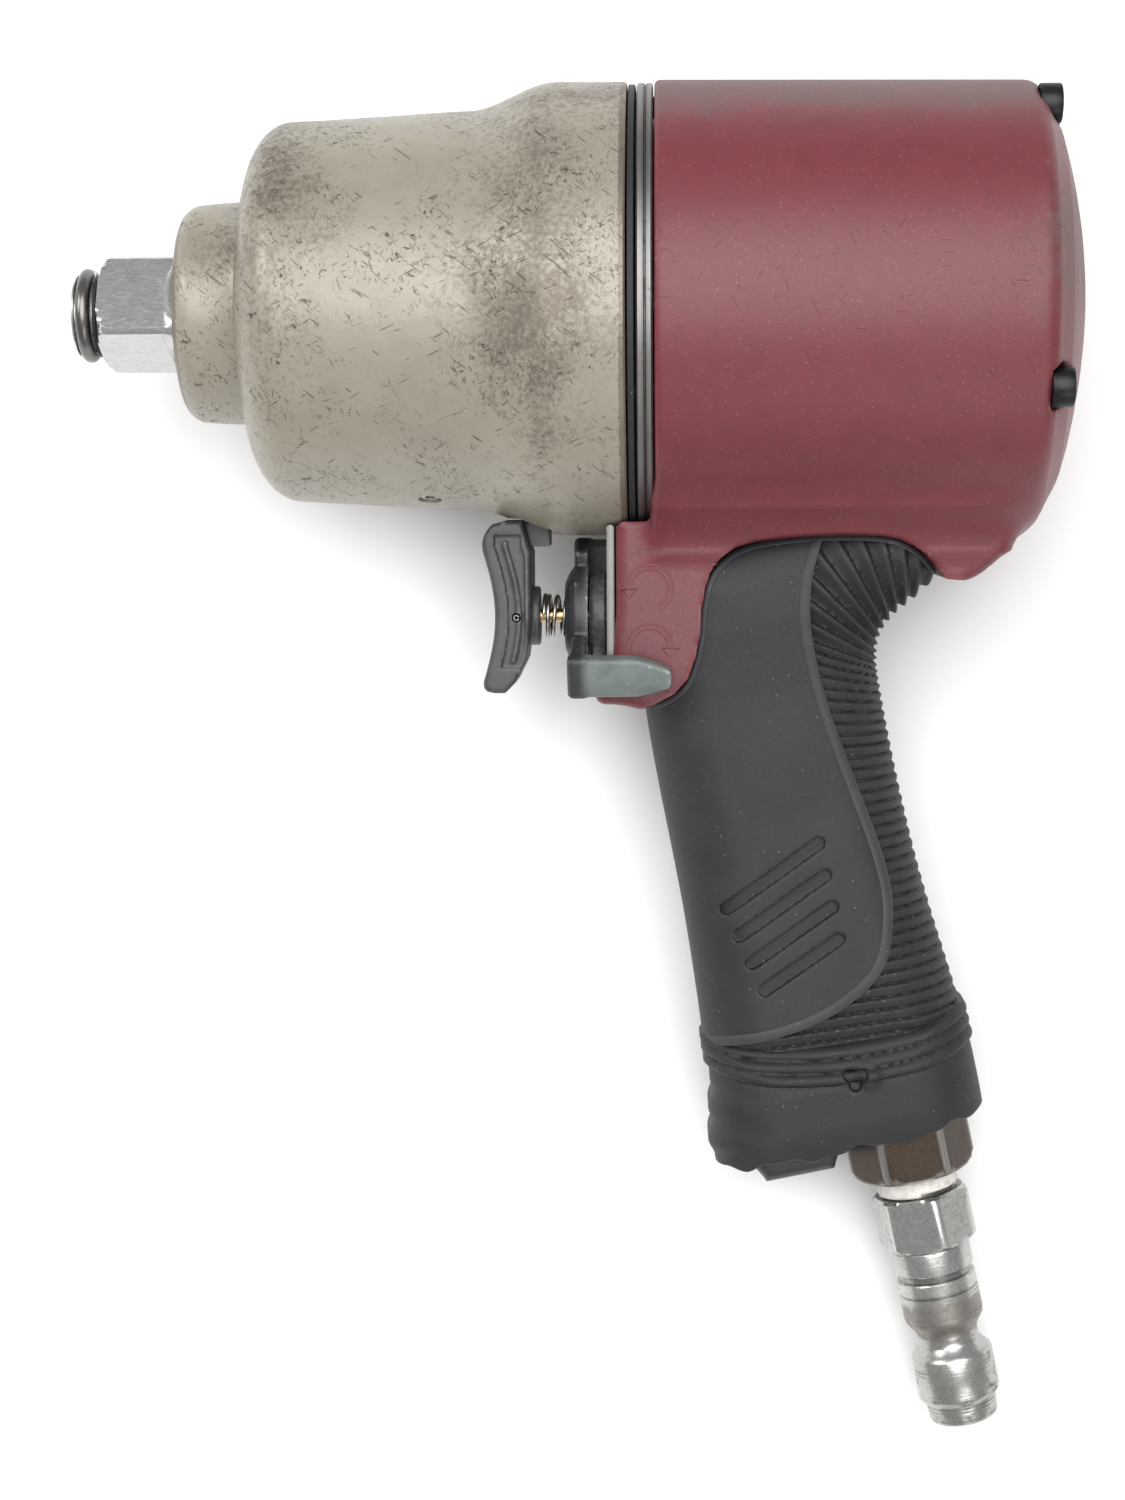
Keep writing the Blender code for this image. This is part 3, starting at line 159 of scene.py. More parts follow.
def polar(radius, degrees):
    """A (y, z) point at an angle from +Z towards +Y."""
    angle = math.radians(degrees)
    return radius * math.sin(angle), radius * math.cos(angle)


def arc(centre, radius, start, end, count=8):
    """Points on an arc of an outline, both ends included."""
    angles = [math.radians(start + (end - start) * step / count) for step in range(count + 1)]
    return [(centre[0] + radius * math.cos(a), centre[1] + radius * math.sin(a)) for a in angles]


def profile(at, radius, *steps):
    """Points of an (x, radius) outline, given as steps from a place and a radius."""
    return [(at + along, radius + out) for along, out in steps]


def softened(outline, rounds=2, closed=True):
    """Cut an outline's corners until it runs in curves."""
    points = np.asarray(outline, float)
    for _ in range(rounds):
        following = np.roll(points, -1, 0)
        cut = np.stack((0.75 * points + 0.25 * following, 0.25 * points + 0.75 * following), 1).reshape(-1,
                2)
        points = cut if closed else np.vstack((points[:1], cut[1:-3], points[-1:]))
    return points


# ---------------------------------------------------------------- distance shapes

def flat_distance(points, outline):
    """Signed distance from (x, y) points to a closed outline, below zero inside."""
    outline = np.asarray(outline, float)
    nearest = np.full(len(points), np.inf)
    inside = np.zeros(len(points), bool)
    for start, end in zip(outline, np.roll(outline, -1, 0)):
        edge = end - start
        length = edge @ edge
        if length < 1e-12:
            continue
        away = points - start
        share = np.clip(away @ edge / length, 0, 1)
        gap = away - share[:, None] * edge
        nearest = np.minimum(nearest, (gap ** 2).sum(1))
        if abs(edge[1]) > 1e-12:
            crossed = (start[1] > points[:, 1]) != (end[1] > points[:, 1])
            inside ^= crossed & (away[:, 0] < edge[0] * away[:, 1] / edge[1])
    return np.sqrt(nearest) * np.where(inside, -1, 1)


class Outline:
    """A closed outline on a plane whose distances are worked out once, on a fine grid."""

    def __init__(self, points, spacing=0.3, margin=15.0):
        points = np.asarray(points, float)
        self.spacing = spacing
        self.low = points.min(0) - margin
        counts = np.ceil((points.max(0) + margin - self.low) / spacing).astype(int) + 2
        grid = np.stack(np.meshgrid(*[np.arange(n) for n in counts], indexing="ij"), -1).reshape(-1, 2)
        self.levels = flat_distance(self.low + grid * spacing, points).reshape(counts)
        self.last = np.array(counts) - 1.001

    def distance(self, first, second):
        """Signed distance at places given by their two coordinates."""
        a = np.clip((first - self.low[0]) / self.spacing, 0, self.last[0])
        b = np.clip((second - self.low[1]) / self.spacing, 0, self.last[1])
        i, j = a.astype(int), b.astype(int)
        a, b = a - i, b - j
        levels = self.levels
        near = levels[i, j] * (1 - b) + levels[i, j + 1] * b
        far = levels[i + 1, j] * (1 - b) + levels[i + 1, j + 1] * b
        return near * (1 - a) + far * a

    def side(self, points):
        """Distance on the side plane."""
        return self.distance(points[:, 0], points[:, 1])

    def spun(self, points, centre=(0.0, 0.0)):
        """Distance to the outline turned about a line along X."""
        return self.distance(points[:, 0], np.hypot(points[:, 1] - centre[0], points[:, 2] - centre[1]))


def meet(first, second, edge=0.0):
    """What two shapes share, its edge rounded to a radius."""
    first = first + edge
    second = second + edge
    outside = np.hypot(np.maximum(first, 0), np.maximum(second, 0))
    return np.minimum(np.maximum(first, second), 0) + outside - edge


def melt(first, second, width):
    """Both shapes together, with a soft fillet where they join."""
    share = np.clip(0.5 + 0.5 * (second - first) / width, 0, 1)
    return second + (first - second) * share - width * share * (1 - share)


def carve(shape, cutter, width):
    """The shape without the cutter, with a soft edge."""
    return -melt(-shape, cutter, width)


def slab_distance(points, outline, low, high, edge):
    """An outline on the side plane, thick from low to high along Z."""
    side = outline.side(points)
    depth = np.maximum(low - points[:, 2], points[:, 2] - high)
    return meet(side, depth, edge)


def step_between(low, high, values):
    """0 below low, 1 above high and smooth between."""
    share = np.clip((values - low) / (high - low), 0, 1)
    return share * share * (3 - 2 * share)


def skin(distance, low, high, cell):
    """Mesh the zero level of a distance shape inside a box.

    The box is looked at in blocks first, and only blocks near the surface are measured finely."""
    block = 4
    low, high = np.asarray(low, float), np.asarray(high, float)
    blocks = np.ceil((high - low) / (cell * block)).astype(int)
    centres = np.stack(np.meshgrid(*[np.arange(n) for n in blocks], indexing="ij"), -1).reshape(-1, 3)
    coarse = distance(low + (centres + 0.5) * cell * block)
    values = np.repeat(np.sign(coarse).reshape(blocks) * cell, block, 0)
    values = np.repeat(np.repeat(values, block, 1), block, 2)
    values = np.pad(values, ((0, 1), (0, 1), (0, 1)), constant_values=cell)
    near = centres[np.abs(coarse) < cell * block * 1.3]
    local = np.stack(np.meshgrid(*[np.arange(block + 1)] * 3, indexing="ij"), -1).reshape(-1, 3)
    for part in np.array_split(near, max(1, len(near) // 4000)):
        spots = (part[:, None] * block + local[None]).reshape(-1, 3)
        values[tuple(spots.T)] = distance(low + spots * cell)
    points, quads = surface_nets(values)
    points = low + points * cell
    for _ in range(3):
        points = onto_surface(distance, points, cell)
    return points, quads


def surface_nets(values):
    """One point in each grid cell that the surface passes through, and a quad round each crossed edge."""
    inside = values < 0
    shape = np.array(values.shape) - 1
    corners = [np.array((i, j, k)) for i in (0, 1) for j in (0, 1) for k in (0, 1)]
    count = sum(inside[i:shape[0] + i, j:shape[1] + j, k:shape[2] + k].astype(np.int8) for i, j,
                k in corners)
    cells = np.argwhere((count > 0) & (count < 8))
    number = np.full(tuple(shape), -1, np.int64)
    number[tuple(cells.T)] = np.arange(len(cells))
    total = np.zeros((len(cells), 3))
    crossings = np.zeros(len(cells))
    for axis in range(3):
        for corner in corners:
            if corner[axis]:
                continue
            start = cells + corner
            end = start.copy()
            end[:, axis] += 1
            a, b = values[tuple(start.T)], values[tuple(end.T)]
            crossed = (a < 0) != (b < 0)
            share = np.where(crossed, a / np.where(crossed, a - b, 1), 0)
            spot = start.astype(float)
            spot[:, axis] += share
            total += spot * crossed[:, None]
            crossings += crossed
    points = total / crossings[:, None]
    quads = []
    for axis in range(3):
        first, second = [other for other in range(3) if other != axis]
        if axis == 1:
            first, second = second, first
        ahead = np.take(inside, np.arange(1, inside.shape[axis]), axis)
        behind = np.take(inside, np.arange(inside.shape[axis] - 1), axis)
        edges = np.argwhere(ahead != behind)
        room = np.all([(edges[:, a] > 0) & (edges[:, a] < shape[a]) for a in (first, second)], axis=0)
        edges = edges[room]
        around = []
        for one, two in ((0, 0), (1, 0), (1, 1), (0, 1)):
            cell = edges.copy()
            cell[:, first] -= one
            cell[:, second] -= two
            around.append(number[tuple(cell.T)])
        quad = np.stack(around, 1)
        flip = behind[tuple(edges.T)]
        quad[~flip] = quad[~flip][:, ::-1]
        quads.append(quad)
    quads = np.vstack(quads)
    return points, quads[(quads >= 0).all(1)]


def onto_surface(distance, points, cell):
    """Move points along the slope of the distance until it is zero."""
    step = 0.08 * cell
    here = distance(points)
    slope = np.empty_like(points)
    for axis in range(3):
        ahead = points.copy()
        ahead[:, axis] += step
        slope[:, axis] = (distance(ahead) - here) / step
    steep = np.maximum((slope ** 2).sum(1), 0.2)
    move = slope * (here / steep)[:, None]
    length = np.sqrt((move ** 2).sum(1))
    return points - move * np.minimum(1, 0.35 * cell / np.maximum(length, 1e-9))[:, None]


def flank_height(distance, places, start=30.0):
    """Height of the flank over (x, y) places, found by falling onto it."""
    points = np.column_stack((places, np.full(len(places), start)))
    for _ in range(60):
        points[:, 2] -= 0.8 * distance(points)
    return points[:, 2]


# ---------------------------------------------------------------- pieces

def place_piece(name, mesh, material, body, replaces=()):
    """Stand a finished mesh, in tool millimetres, in the frame and hang it on a body."""
    mesh.transform(Matrix.Scale(MM, 4))
    mesh.materials.clear()
    mesh.materials.append(material)
    item = bpy.data.objects.new(name, mesh)
    bpy.context.scene.collection.objects.link(item)
    item.matrix_world = TOOL
    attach(item, body)
    if replaces:
        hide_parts(*replaces)
    return item


def mesh_from(name, points, faces, sharp=None):
    """A smooth mesh from points and quads or mixed faces."""
    mesh = bpy.data.meshes.new(name)
    if isinstance(faces, np.ndarray):
        mesh.vertices.add(len(points))
        mesh.vertices.foreach_set("co", np.asarray(points, np.float32).ravel())
        mesh.loops.add(faces.size)
        mesh.loops.foreach_set("vertex_index", faces.astype(np.int32).ravel())
        mesh.polygons.add(len(faces))
        mesh.polygons.foreach_set("loop_start", np.arange(0, faces.size, faces.shape[1], dtype=np.int32))
        mesh.update(calc_edges=True)
    else:
        mesh.from_pydata([tuple(point) for point in points], [], faces)
    mesh.validate()
    mesh.shade_smooth()
    if sharp:
        mesh.set_sharp_from_angle(angle=math.radians(sharp))
    return mesh


def skinned(name, distance, low, high, cell, sharp=None):
    """A smooth mesh of a distance shape."""
    return mesh_from(name, *skin(distance, low, high, cell), sharp)


def loft(name, rings, closed=False, sharp=34):
    """Skin a row of rings with as many points each; a closed row joins its last ring to its first."""
    count = len(rings[0])
    points = [point for ring in rings for point in ring]
    rows = len(rings)
    faces = []
    for row in range(rows if closed else rows - 1):
        following = (row + 1) % rows
        for here in range(count):
            there = (here + 1) % count
            faces.append((row * count + here, row * count + there, following * count + there,
                          following * count + here))
    if not closed:
        faces.append(tuple(reversed(range(count))))
        faces.append(tuple(range((rows - 1) * count, rows * count)))
    mesh = mesh_from(name, points, faces)
    tidy_normals(mesh, sharp)
    return mesh


def tidy_normals(mesh, sharp):
    """Join doubled points, turn faces outward and mark sharp edges."""
    bm = bmesh.new()
    bm.from_mesh(mesh)
    bmesh.ops.remove_doubles(bm, verts=bm.verts, dist=1e-5)
    bmesh.ops.recalc_face_normals(bm, faces=bm.faces)
    bm.to_mesh(mesh)
    bm.free()
    mesh.shade_smooth()
    mesh.set_sharp_from_angle(angle=math.radians(sharp))


def spun(name, outline, sides=144, centre=(0.0, 0.0), sharp=34, wobble=None):
    """Turn an (x, radius) outline about a line along X; a closed outline makes a ring."""
    closed = outline[0][1] > 0.01
    rings = []
    for x, radius in outline:
        ring = []
        for step in range(sides):
            angle = 360 * step / sides
            extra = wobble(x, radius, angle) if wobble else 0.0
            y, z = polar(max(radius, 0.001) + extra, angle)
            ring.append((x, centre[0] + y, centre[1] + z))
        rings.append(ring)
    return loft(name, rings, closed, sharp)


def cut_with(mesh, *tools):
    """Take other meshes away from a mesh and keep the result."""
    item = bpy.data.objects.new("blank", mesh)
    bpy.context.scene.collection.objects.link(item)
    cutters = []
    for tool in tools:
        cutter = bpy.data.objects.new("cutter", tool)
        bpy.context.scene.collection.objects.link(cutter)
        cutters.append(cutter)
        modifier = item.modifiers.new("cut", "BOOLEAN")
        modifier.operation = "DIFFERENCE"
        modifier.solver = "EXACT"
        modifier.object = cutter
    graph = bpy.context.evaluated_depsgraph_get()
    result = bpy.data.meshes.new_from_object(item.evaluated_get(graph))
    for other in cutters + [item]:
        bpy.data.objects.remove(other)
    tidy_normals(result, 34)
    return result


def merged(name, meshes, sharp=34):
    """Several meshes as one."""
    bm = bmesh.new()
    for mesh in meshes:
        bm.from_mesh(mesh)
    mesh = bpy.data.meshes.new(name)
    bm.to_mesh(mesh)
    bm.free()
    mesh.shade_smooth()
    mesh.set_sharp_from_angle(angle=math.radians(sharp))
    return mesh


def rounded_slab(name, low, high, edge=0.3):
    """A box with softened edges."""
    bm = bmesh.new()
    bmesh.ops.create_cube(bm, size=1.0)
    for vertex in bm.verts:
        for axis in range(3):
            vertex.co[axis] = low[axis] if vertex.co[axis] < 0 else high[axis]
    if edge:
        bmesh.ops.bevel(bm, geom=bm.edges, offset=edge, segments=3, profile=0.5, affect="EDGES")
    mesh = bpy.data.meshes.new(name)
    bm.to_mesh(mesh)
    bm.free()
    mesh.shade_smooth()
    mesh.set_sharp_from_angle(angle=math.radians(40))
    return mesh


def tube(name, path, radius, sides=10, flat=1.0, ends=True):
    """A round or flattened wire along a path of 3-D points."""
    path = [Vector(point) for point in path]
    rings = []
    side = None
    for number, point in enumerate(path):
        before = path[max(number - 1, 0)]
        after = path[min(number + 1, len(path) - 1)]
        along = (after - before).normalized()
        if side is None:
            side = along.orthogonal().normalized()
        side = (side - along * side.dot(along)).normalized()
        other = along.cross(side)
        size = radius * (0.35 if ends and number in (0, len(path) - 1) else 1.0)
        rings.append([point + side * size * math.cos(turn) + other * size * flat * math.sin(turn)
                      for turn in (2 * math.pi * step / sides for step in range(sides))])
    return loft(name, rings, sharp=50)


# ---------------------------------------------------------------- finishes

class Level:
    """A number that varies over a surface; arithmetic on it adds Math nodes."""

    def __init__(self, finish, socket):
        self.finish = finish
        self.socket = socket

    def _math(self, operation, first, second):
        node = self.finish.node("ShaderNodeMath", {"operation": operation}, {0: first, 1: second})
        return Level(self.finish, node.outputs[0])

    def __add__(self, other):
        return self._math("ADD", self, other)

    __radd__ = __add__

    def __sub__(self, other):
        return self._math("SUBTRACT", self, other)

    def __rsub__(self, other):
        return self._math("SUBTRACT", other, self)

    def __mul__(self, other):
        return self._math("MULTIPLY", self, other)

    __rmul__ = __mul__

    def __truediv__(self, other):
        return self._math("DIVIDE", self, other)

    def __abs__(self):
        return self._math("ABSOLUTE", self, 0.0)

    def __or__(self, other):
        """The larger of two."""
        return self._math("MAXIMUM", self, other)

    def __and__(self, other):
        """The smaller of two."""
        return self._math("MINIMUM", self, other)

    def above(self, low, high):
        """0 below low, 1 above high and smooth between."""
        node = self.finish.node("ShaderNodeMapRange", {"interpolation_type": "SMOOTHSTEP", "clamp": True},
                                {"Value": self, "From Min": low, "From Max": high})
        return Level(self.finish, node.outputs[0])

    def below(self, low, high):
        return 1.0 - self.above(low, high)


class Finish:
    """A material whose surface is worked out from positions in tool millimetres."""

    def __init__(self, name, roughness=0.5, metallic=0.0, coat=0.0, specular=0.5):
        self.material = bpy.data.materials.new(name)
        self.material.use_nodes = True
        self.tree = self.material.node_tree
        self.tree.nodes.clear()
        self.shader = self.node("ShaderNodeBsdfPrincipled", {},
                                {"Roughness": roughness, "Metallic": metallic, "Coat Weight": coat,
                                 "Specular IOR Level": specular})
        self.node("ShaderNodeOutputMaterial", {}, {"Surface": self.shader.outputs[0]})
        spot = self.node("ShaderNodeTexCoord", {}, {})
        self.spot = self.node("ShaderNodeVectorMath", {"operation": "SCALE"},
                              {0: spot.outputs["Object"], "Scale": 1 / MM}).outputs[0]

    def node(self, kind, settings, values):
        """One node: its settings first, then the values or links of its sockets."""
        node = self.tree.nodes.new(kind)
        for name, value in settings.items():
            setattr(node, name, value)
        for key, value in values.items():
            socket = node.inputs[key]
            if isinstance(value, Level):
                self.tree.links.new(value.socket, socket)
            elif isinstance(value, bpy.types.NodeSocket):
                self.tree.links.new(value, socket)
            else:
                socket.default_value = value
        return node

    def axes(self):
        """X, Y and Z of the surface in tool millimetres."""
        parts = self.node("ShaderNodeSeparateXYZ", {}, {0: self.spot})
        return [Level(self, parts.outputs[axis]) for axis in range(3)]

    def stretched(self, stretch, shift=(0, 0, 0)):
        return self.node("ShaderNodeVectorMath", {"operation": "MULTIPLY_ADD"},
                         {0: self.spot, 1: stretch, 2: shift}).outputs[0]

    def noise(self, size, detail=3.0, roughness=0.55, stretch=(1, 1, 1), shift=0.0, distortion=0.0):
        """Cloudy noise whose blotches are about so many millimetres across."""
        vector = self.stretched([part / size for part in stretch], (shift, shift * 0.7, -shift))
        node = self.node("ShaderNodeTexNoise", {}, {"Vector": vector, "Scale": 1.0, "Detail": detail,
                                                    "Roughness": roughness, "Distortion": distortion})
        return Level(self, node.outputs["Fac"])

    def specks(self, size, stretch=(1, 1, 1), shift=0.0):
        """Distance to the nearest of many scattered spots."""
        vector = self.stretched([part / size for part in stretch], (shift, shift, shift))
        node = self.node("ShaderNodeTexVoronoi", {"feature": "F1"}, {"Vector": vector, "Scale": 1.0})
        return Level(self, node.outputs["Distance"])

    def scratches(self, size, turn, length=9.0, shift=0.0):
        """Thin streaks at an angle on the side plane."""
        spin = self.node("ShaderNodeVectorRotate", {"rotation_type": "Z_AXIS"},
                         {"Vector": self.spot, "Angle": math.radians(turn)})
        vector = self.node("ShaderNodeVectorMath", {"operation": "MULTIPLY_ADD"},
                           {0: spin.outputs[0], 1: (1 / (size * length), 1 / size, 1 / (size * length)),
                            2: (shift, shift, shift)})
        node = self.node("ShaderNodeTexNoise", {}, {"Vector": vector.outputs[0], "Scale": 1.0, "Detail": 2.0,
                                                    "Roughness": 0.6})
        return Level(self, node.outputs["Fac"])

    def streaks(self, *layers):
        """Several sets of scratches as one mask: each set's scratches, then the levels it shows between."""
        mask = None
        for lines, levels in layers:
            layer = self.scratches(*lines).above(*levels)
            mask = layer if mask is None else mask | layer
        return mask

    def ridges(self):
        """How far the surface sticks out, for wear on edges: 0.5 on the flat."""
        return Level(self, self.node("ShaderNodeNewGeometry", {}, {}).outputs["Pointiness"])

    def mix(self, mask, plain, covered):
        """One colour where the mask is 0 and another where it is 1."""
        node = self.node("ShaderNodeMix", {"data_type": "RGBA"}, {0: mask, 6: self.colour(plain),
                                                                  7: self.colour(covered)})
        return node.outputs[2]

    @staticmethod
    def colour(value):
        return (*value, 1.0) if isinstance(value, (tuple, list)) and len(value) == 3 else value

    def paint(self, colour, roughness=None, metallic=None, bump=None, height=0.05, coat=None):
        """Connect what varies; height is the bump's depth in millimetres."""
        pairs = {"Base Color": self.colour(colour), "Roughness": roughness, "Metallic": metallic,
                 "Coat Weight": coat}
        for name, value in pairs.items():
            if value is None:
                continue
            if isinstance(value, Level):
                self.tree.links.new(value.socket, self.shader.inputs[name])
            elif isinstance(value, bpy.types.NodeSocket):
                self.tree.links.new(value, self.shader.inputs[name])
            else:
                self.shader.inputs[name].default_value = value
        if bump is not None:
            node = self.node("ShaderNodeBump", {},
                             {"Height": bump, "Distance": height * MM, "Strength": 1.0})
            self.tree.links.new(node.outputs[0], self.shader.inputs["Normal"])
        return self.material


def shade(colour, factor):
    """The colour made darker or lighter by a factor."""
    return tuple(part * factor for part in colour)


def worn_case_paint(colours):
    """Warm grey enamel on cast metal, rubbed brown and flecked dark."""
    finish = Finish("worn_case_paint", metallic=0.25, roughness=0.4)
    x, y, _ = finish.axes()
    cloudy = finish.noise(26, 5, 0.62, distortion=0.6)
    fine = finish.noise(1.1, 4, 0.7)
    # Rubbed patches: on the dome's shoulder, on the swell to the flange and along the top
    shoulder = (abs(x + 76) + abs(y - 14) * 0.5).below(4, 30)
    swell = (abs(x + 22) * 0.9 + abs(y - 6) * 0.45).below(2, 36) * 0.85
    top = y.above(26, 46) * 0.6
    rubbed = ((shoulder * 0.75 | swell) | top) * 0.42 + cloudy * 0.85
    rubbed = (rubbed + (fine - 0.5) * 0.9).above(0.54, 0.95)
    flecks = finish.noise(1.9, 6, 0.75, stretch=(0.8, 1.2, 1), shift=3.0)
    busy = (finish.noise(12, 4, 0.6, shift=8.0) + x.below(-98, -50) * 0.06).above(0.44, 0.6)
    dark_flecks = flecks.above(0.6, 0.645) * busy
    marks = finish.streaks(((0.7, 38, 9.0, 2.0), (0.67, 0.7)), ((0.6, -24, 9, 7.0), (0.68, 0.71)))
    nicks = finish.streaks(((0.55, 62, 4, 12.0), (0.63, 0.67)), ((0.5, -70, 4, 21.0), (0.65, 0.69))) * busy
    rim = x.above(CASE_REAR - 2.4, CASE_REAR - 0.6) | x.below(NOSE_FACE + 0.5, NOSE_FACE + 2.5)
    bare = (rim * 0.7 + fine * 0.7).above(0.66, 0.9)
    tone = finish.mix(finish.noise(7, 4).above(0.3, 0.75) * 0.55, colours.case_paint,
                      shade(colours.case_paint, 0.82))
    tone = finish.mix(rubbed * 0.75, tone, colours.case_rubbed)
    tone = finish.mix(dark_flecks * 0.85, tone, colours.grime)
    tone = finish.mix((marks | nicks) * 0.7, tone, shade(colours.grime, 1.5))
    tone = finish.mix(bare * 0.8, tone, shade(colours.case_rubbed, 1.25))
    roughness = 0.36 + rubbed * 0.12 + dark_flecks * 0.2 + (fine - 0.5) * 0.22
    metallic = 0.2 + rubbed * 0.45 + bare * 0.3
    bump = fine * 0.45 - dark_flecks * 0.8 - (marks | nicks) * 0.7 + finish.noise(4.5, 3, shift=5.0) * 0.8
    return finish.paint(tone, roughness, metallic, bump, 0.1)


def scuffed_red(colours):
    """Dusky red glass-filled nylon, scuffed grey where it drags, with painted shade darkening it towards the
    neck.
    """
    finish = Finish("scuffed_red_composite", roughness=0.5)
    x, y, _ = finish.axes()
    grain = finish.noise(0.5, 3, 0.6)
    cloudy = finish.noise(19, 5, 0.62, distortion=0.5)
    rear = x.above(68, 86) * y.above(-22, 6)
    top = y.above(30, 46) * 0.95
    patch = (abs(x - 36) * 0.7 + abs(y - 26)).below(4, 26) * 0.35
    scuffed = (((rear * 0.62) | top) | patch) + (cloudy - 0.5) * 1.5
    scuffed = (scuffed + (finish.noise(1.6, 4, 0.7) - 0.5) * 0.8).above(0.32, 0.95)
    lines = finish.streaks(((0.5, 62, 14, 4.0), (0.7, 0.725)), ((0.6, -50, 8, 9.0), (0.7, 0.73)),
                           ((0.5, 4, 16, 1.0), (0.71, 0.73)))
    # Painted shade: the red is darkened below the barrel towards the neck, standing in for the shadow in the
    # crease where barrel and neck meet
    neck_shade = y.below(-62, -36)
    tone = finish.mix(finish.noise(6, 4, shift=2.0).above(0.3, 0.75) * 0.5, colours.red,
                      shade(colours.red, 0.8))
    tone = finish.mix(neck_shade * 0.3, tone, shade(colours.red, 0.62))
    tone = finish.mix(scuffed * 0.62, tone, colours.scuff)
    tone = finish.mix(lines * 0.45, tone, shade(colours.scuff, 0.5))
    worn = finish.ridges().above(0.53, 0.6)
    tone = finish.mix(worn * 0.35, tone, (0.42, 0.16, 0.16))
    tone = finish.mix(finish.specks(1.3).below(0.06, 0.12) * 0.35, tone, (0.45, 0.3, 0.3))
    roughness = 0.44 + scuffed * 0.14 + (grain - 0.5) * 0.2 + lines * 0.1
    bump = grain * 0.5 + finish.noise(2.2, 3, shift=6.0) * 0.5 - lines * 0.8
    return finish.paint(tone, roughness, None, bump, 0.05)


def grip_rubber(colours, name="grip_rubber", lighter=1.0):
    """Moulded black rubber, greyed by handling."""
    finish = Finish(name, roughness=0.62, specular=0.4)
    fine = finish.noise(0.35, 2, 0.6)
    cloudy = finish.noise(16, 4, 0.6)
    dust = finish.specks(1.7, shift=2.0).below(0.05, 0.14) * finish.noise(6, 2, shift=4.0).above(0.5, 0.62)
    worn = finish.ridges().above(0.515, 0.6)
    base = shade(colours.rubber, lighter)
    tone = finish.mix(cloudy.above(0.35, 0.7), shade(base, 0.82), shade(base, 1.22))
    tone = finish.mix(worn * 0.4, tone, shade(base, 2.3))
    tone = finish.mix(dust * 0.5, tone, (0.22, 0.21, 0.2))
    marks = finish.scratches(0.4, 25, 14, 3.0).above(0.7, 0.73)
    tone = finish.mix(marks * 0.35, tone, shade(base, 2.6))
    roughness = 0.52 + cloudy * 0.16 + (fine - 0.5) * 0.3
    return finish.paint(tone, roughness, None, fine - marks * 0.6, 0.03)


def scuffed_plastic(name, base, edge_tone, edge_amount=0.6, roughness=0.42):
    """Hard moulded plastic with paler, polished edges."""
    finish = Finish(name, roughness=roughness)
    fine = finish.noise(0.6, 3)
    cloudy = finish.noise(7, 4, 0.6)
    worn = (finish.ridges() + (finish.noise(1.3, 4, 0.7) - 0.5) * 0.12).above(0.52, 0.6)
    tone = finish.mix(cloudy.above(0.3, 0.7), shade(base, 0.8), shade(base, 1.2))
    tone = finish.mix(worn * edge_amount, tone, edge_tone)
    marks = finish.scratches(0.35, 58, 9, 2.0).above(0.68, 0.72)
    tone = finish.mix(marks * 0.35, tone, shade(edge_tone, 0.8))
    level = roughness - 0.06 + cloudy * 0.14 + (fine - 0.5) * 0.2
    return finish.paint(tone, level, None, fine - marks, 0.025)


def machined_steel(name, base, roughness=0.28, grime=(0.03, 0.026, 0.022), grime_amount=0.5,
                   stretch=(1, 1, 1),
                   size=0.5, wear=0.3):
    """Bare or plated metal with tool marks, handling marks and dirt in its hollows."""
    finish = Finish(name, roughness=roughness, metallic=1.0)
    lines = finish.noise(size, 3, 0.6, stretch=stretch)
    cloudy = finish.noise(5.5, 5, 0.65, distortion=0.4)
    hollow = finish.ridges().below(0.42, 0.5)
    stains = ((cloudy - 0.5) * 1.6 + hollow * 0.5 + (finish.noise(1.2, 4, 0.7, shift=3.0) - 0.5)).above(0.12,
            0.75)
    worn = finish.ridges().above(0.52, 0.6)
    tone = finish.mix(lines.above(0.3, 0.7), shade(base, 0.88), shade(base, 1.1))
    tone = finish.mix(stains * grime_amount, tone, grime)
    tone = finish.mix(worn * wear, tone, (0.75, 0.74, 0.72))
    marks = finish.streaks(((0.3, 30, 12, 5.0), (0.68, 0.72)), ((0.3, -48, 9, 1.0), (0.69, 0.72)))
    tone = finish.mix(marks * 0.3, tone, shade(base, 1.3))
    level = roughness - 0.05 + stains * 0.25 + (lines - 0.5) * 0.16 + cloudy * 0.08
    return finish.paint(tone, level, 1.0 - stains * grime_amount * 0.5, lines * 0.5 - marks * 0.5, 0.012)


def chipped_paint(colours):
    """Grey-green paint on the finger tabs, chipped to bright metal along the edges."""
    finish = Finish("chipped_lever_paint", roughness=0.4)
    fine = finish.noise(0.7, 4, 0.7)
    x = finish.axes()[0]
    edge = (finish.ridges() + (finish.noise(1.6, 5, 0.75) - 0.5) * 0.2).above(0.535, 0.57)
    chips = finish.noise(2.2, 5, 0.7, shift=7.0).above(0.66, 0.7)
    bare = edge | chips
    on_tab = (x + 14).above(0, 3)
    tone = finish.mix(finish.noise(6, 4).above(0.3, 0.7), shade(colours.tab, 0.8), shade(colours.tab, 1.2))
    tone = finish.mix(on_tab, shade(colours.rubber, 1.3), tone)
    tone = finish.mix(bare * (0.35 + on_tab * 0.5), tone, (0.55, 0.54, 0.5))
    return finish.paint(tone, 0.38 + fine * 0.15 - bare * 0.1, bare * on_tab * 0.9, fine * 0.4 - bare * 0.9,
                        0.05)


def thread_tape():
    """Soft white tape, greyed where it is pressed into the thread."""
    finish = Finish("thread_tape", roughness=0.55, specular=0.4)
    dirty = finish.noise(2.6, 4, 0.7).above(0.4, 0.7)
    fibres = finish.noise(0.5, 3, 0.6, stretch=(2.5, 0.5, 0.5))
    tone = finish.mix(dirty * 0.6, (0.72, 0.7, 0.66), (0.36, 0.33, 0.29))
    return finish.paint(tone, 0.5 + fibres * 0.2, None, fibres, 0.08)


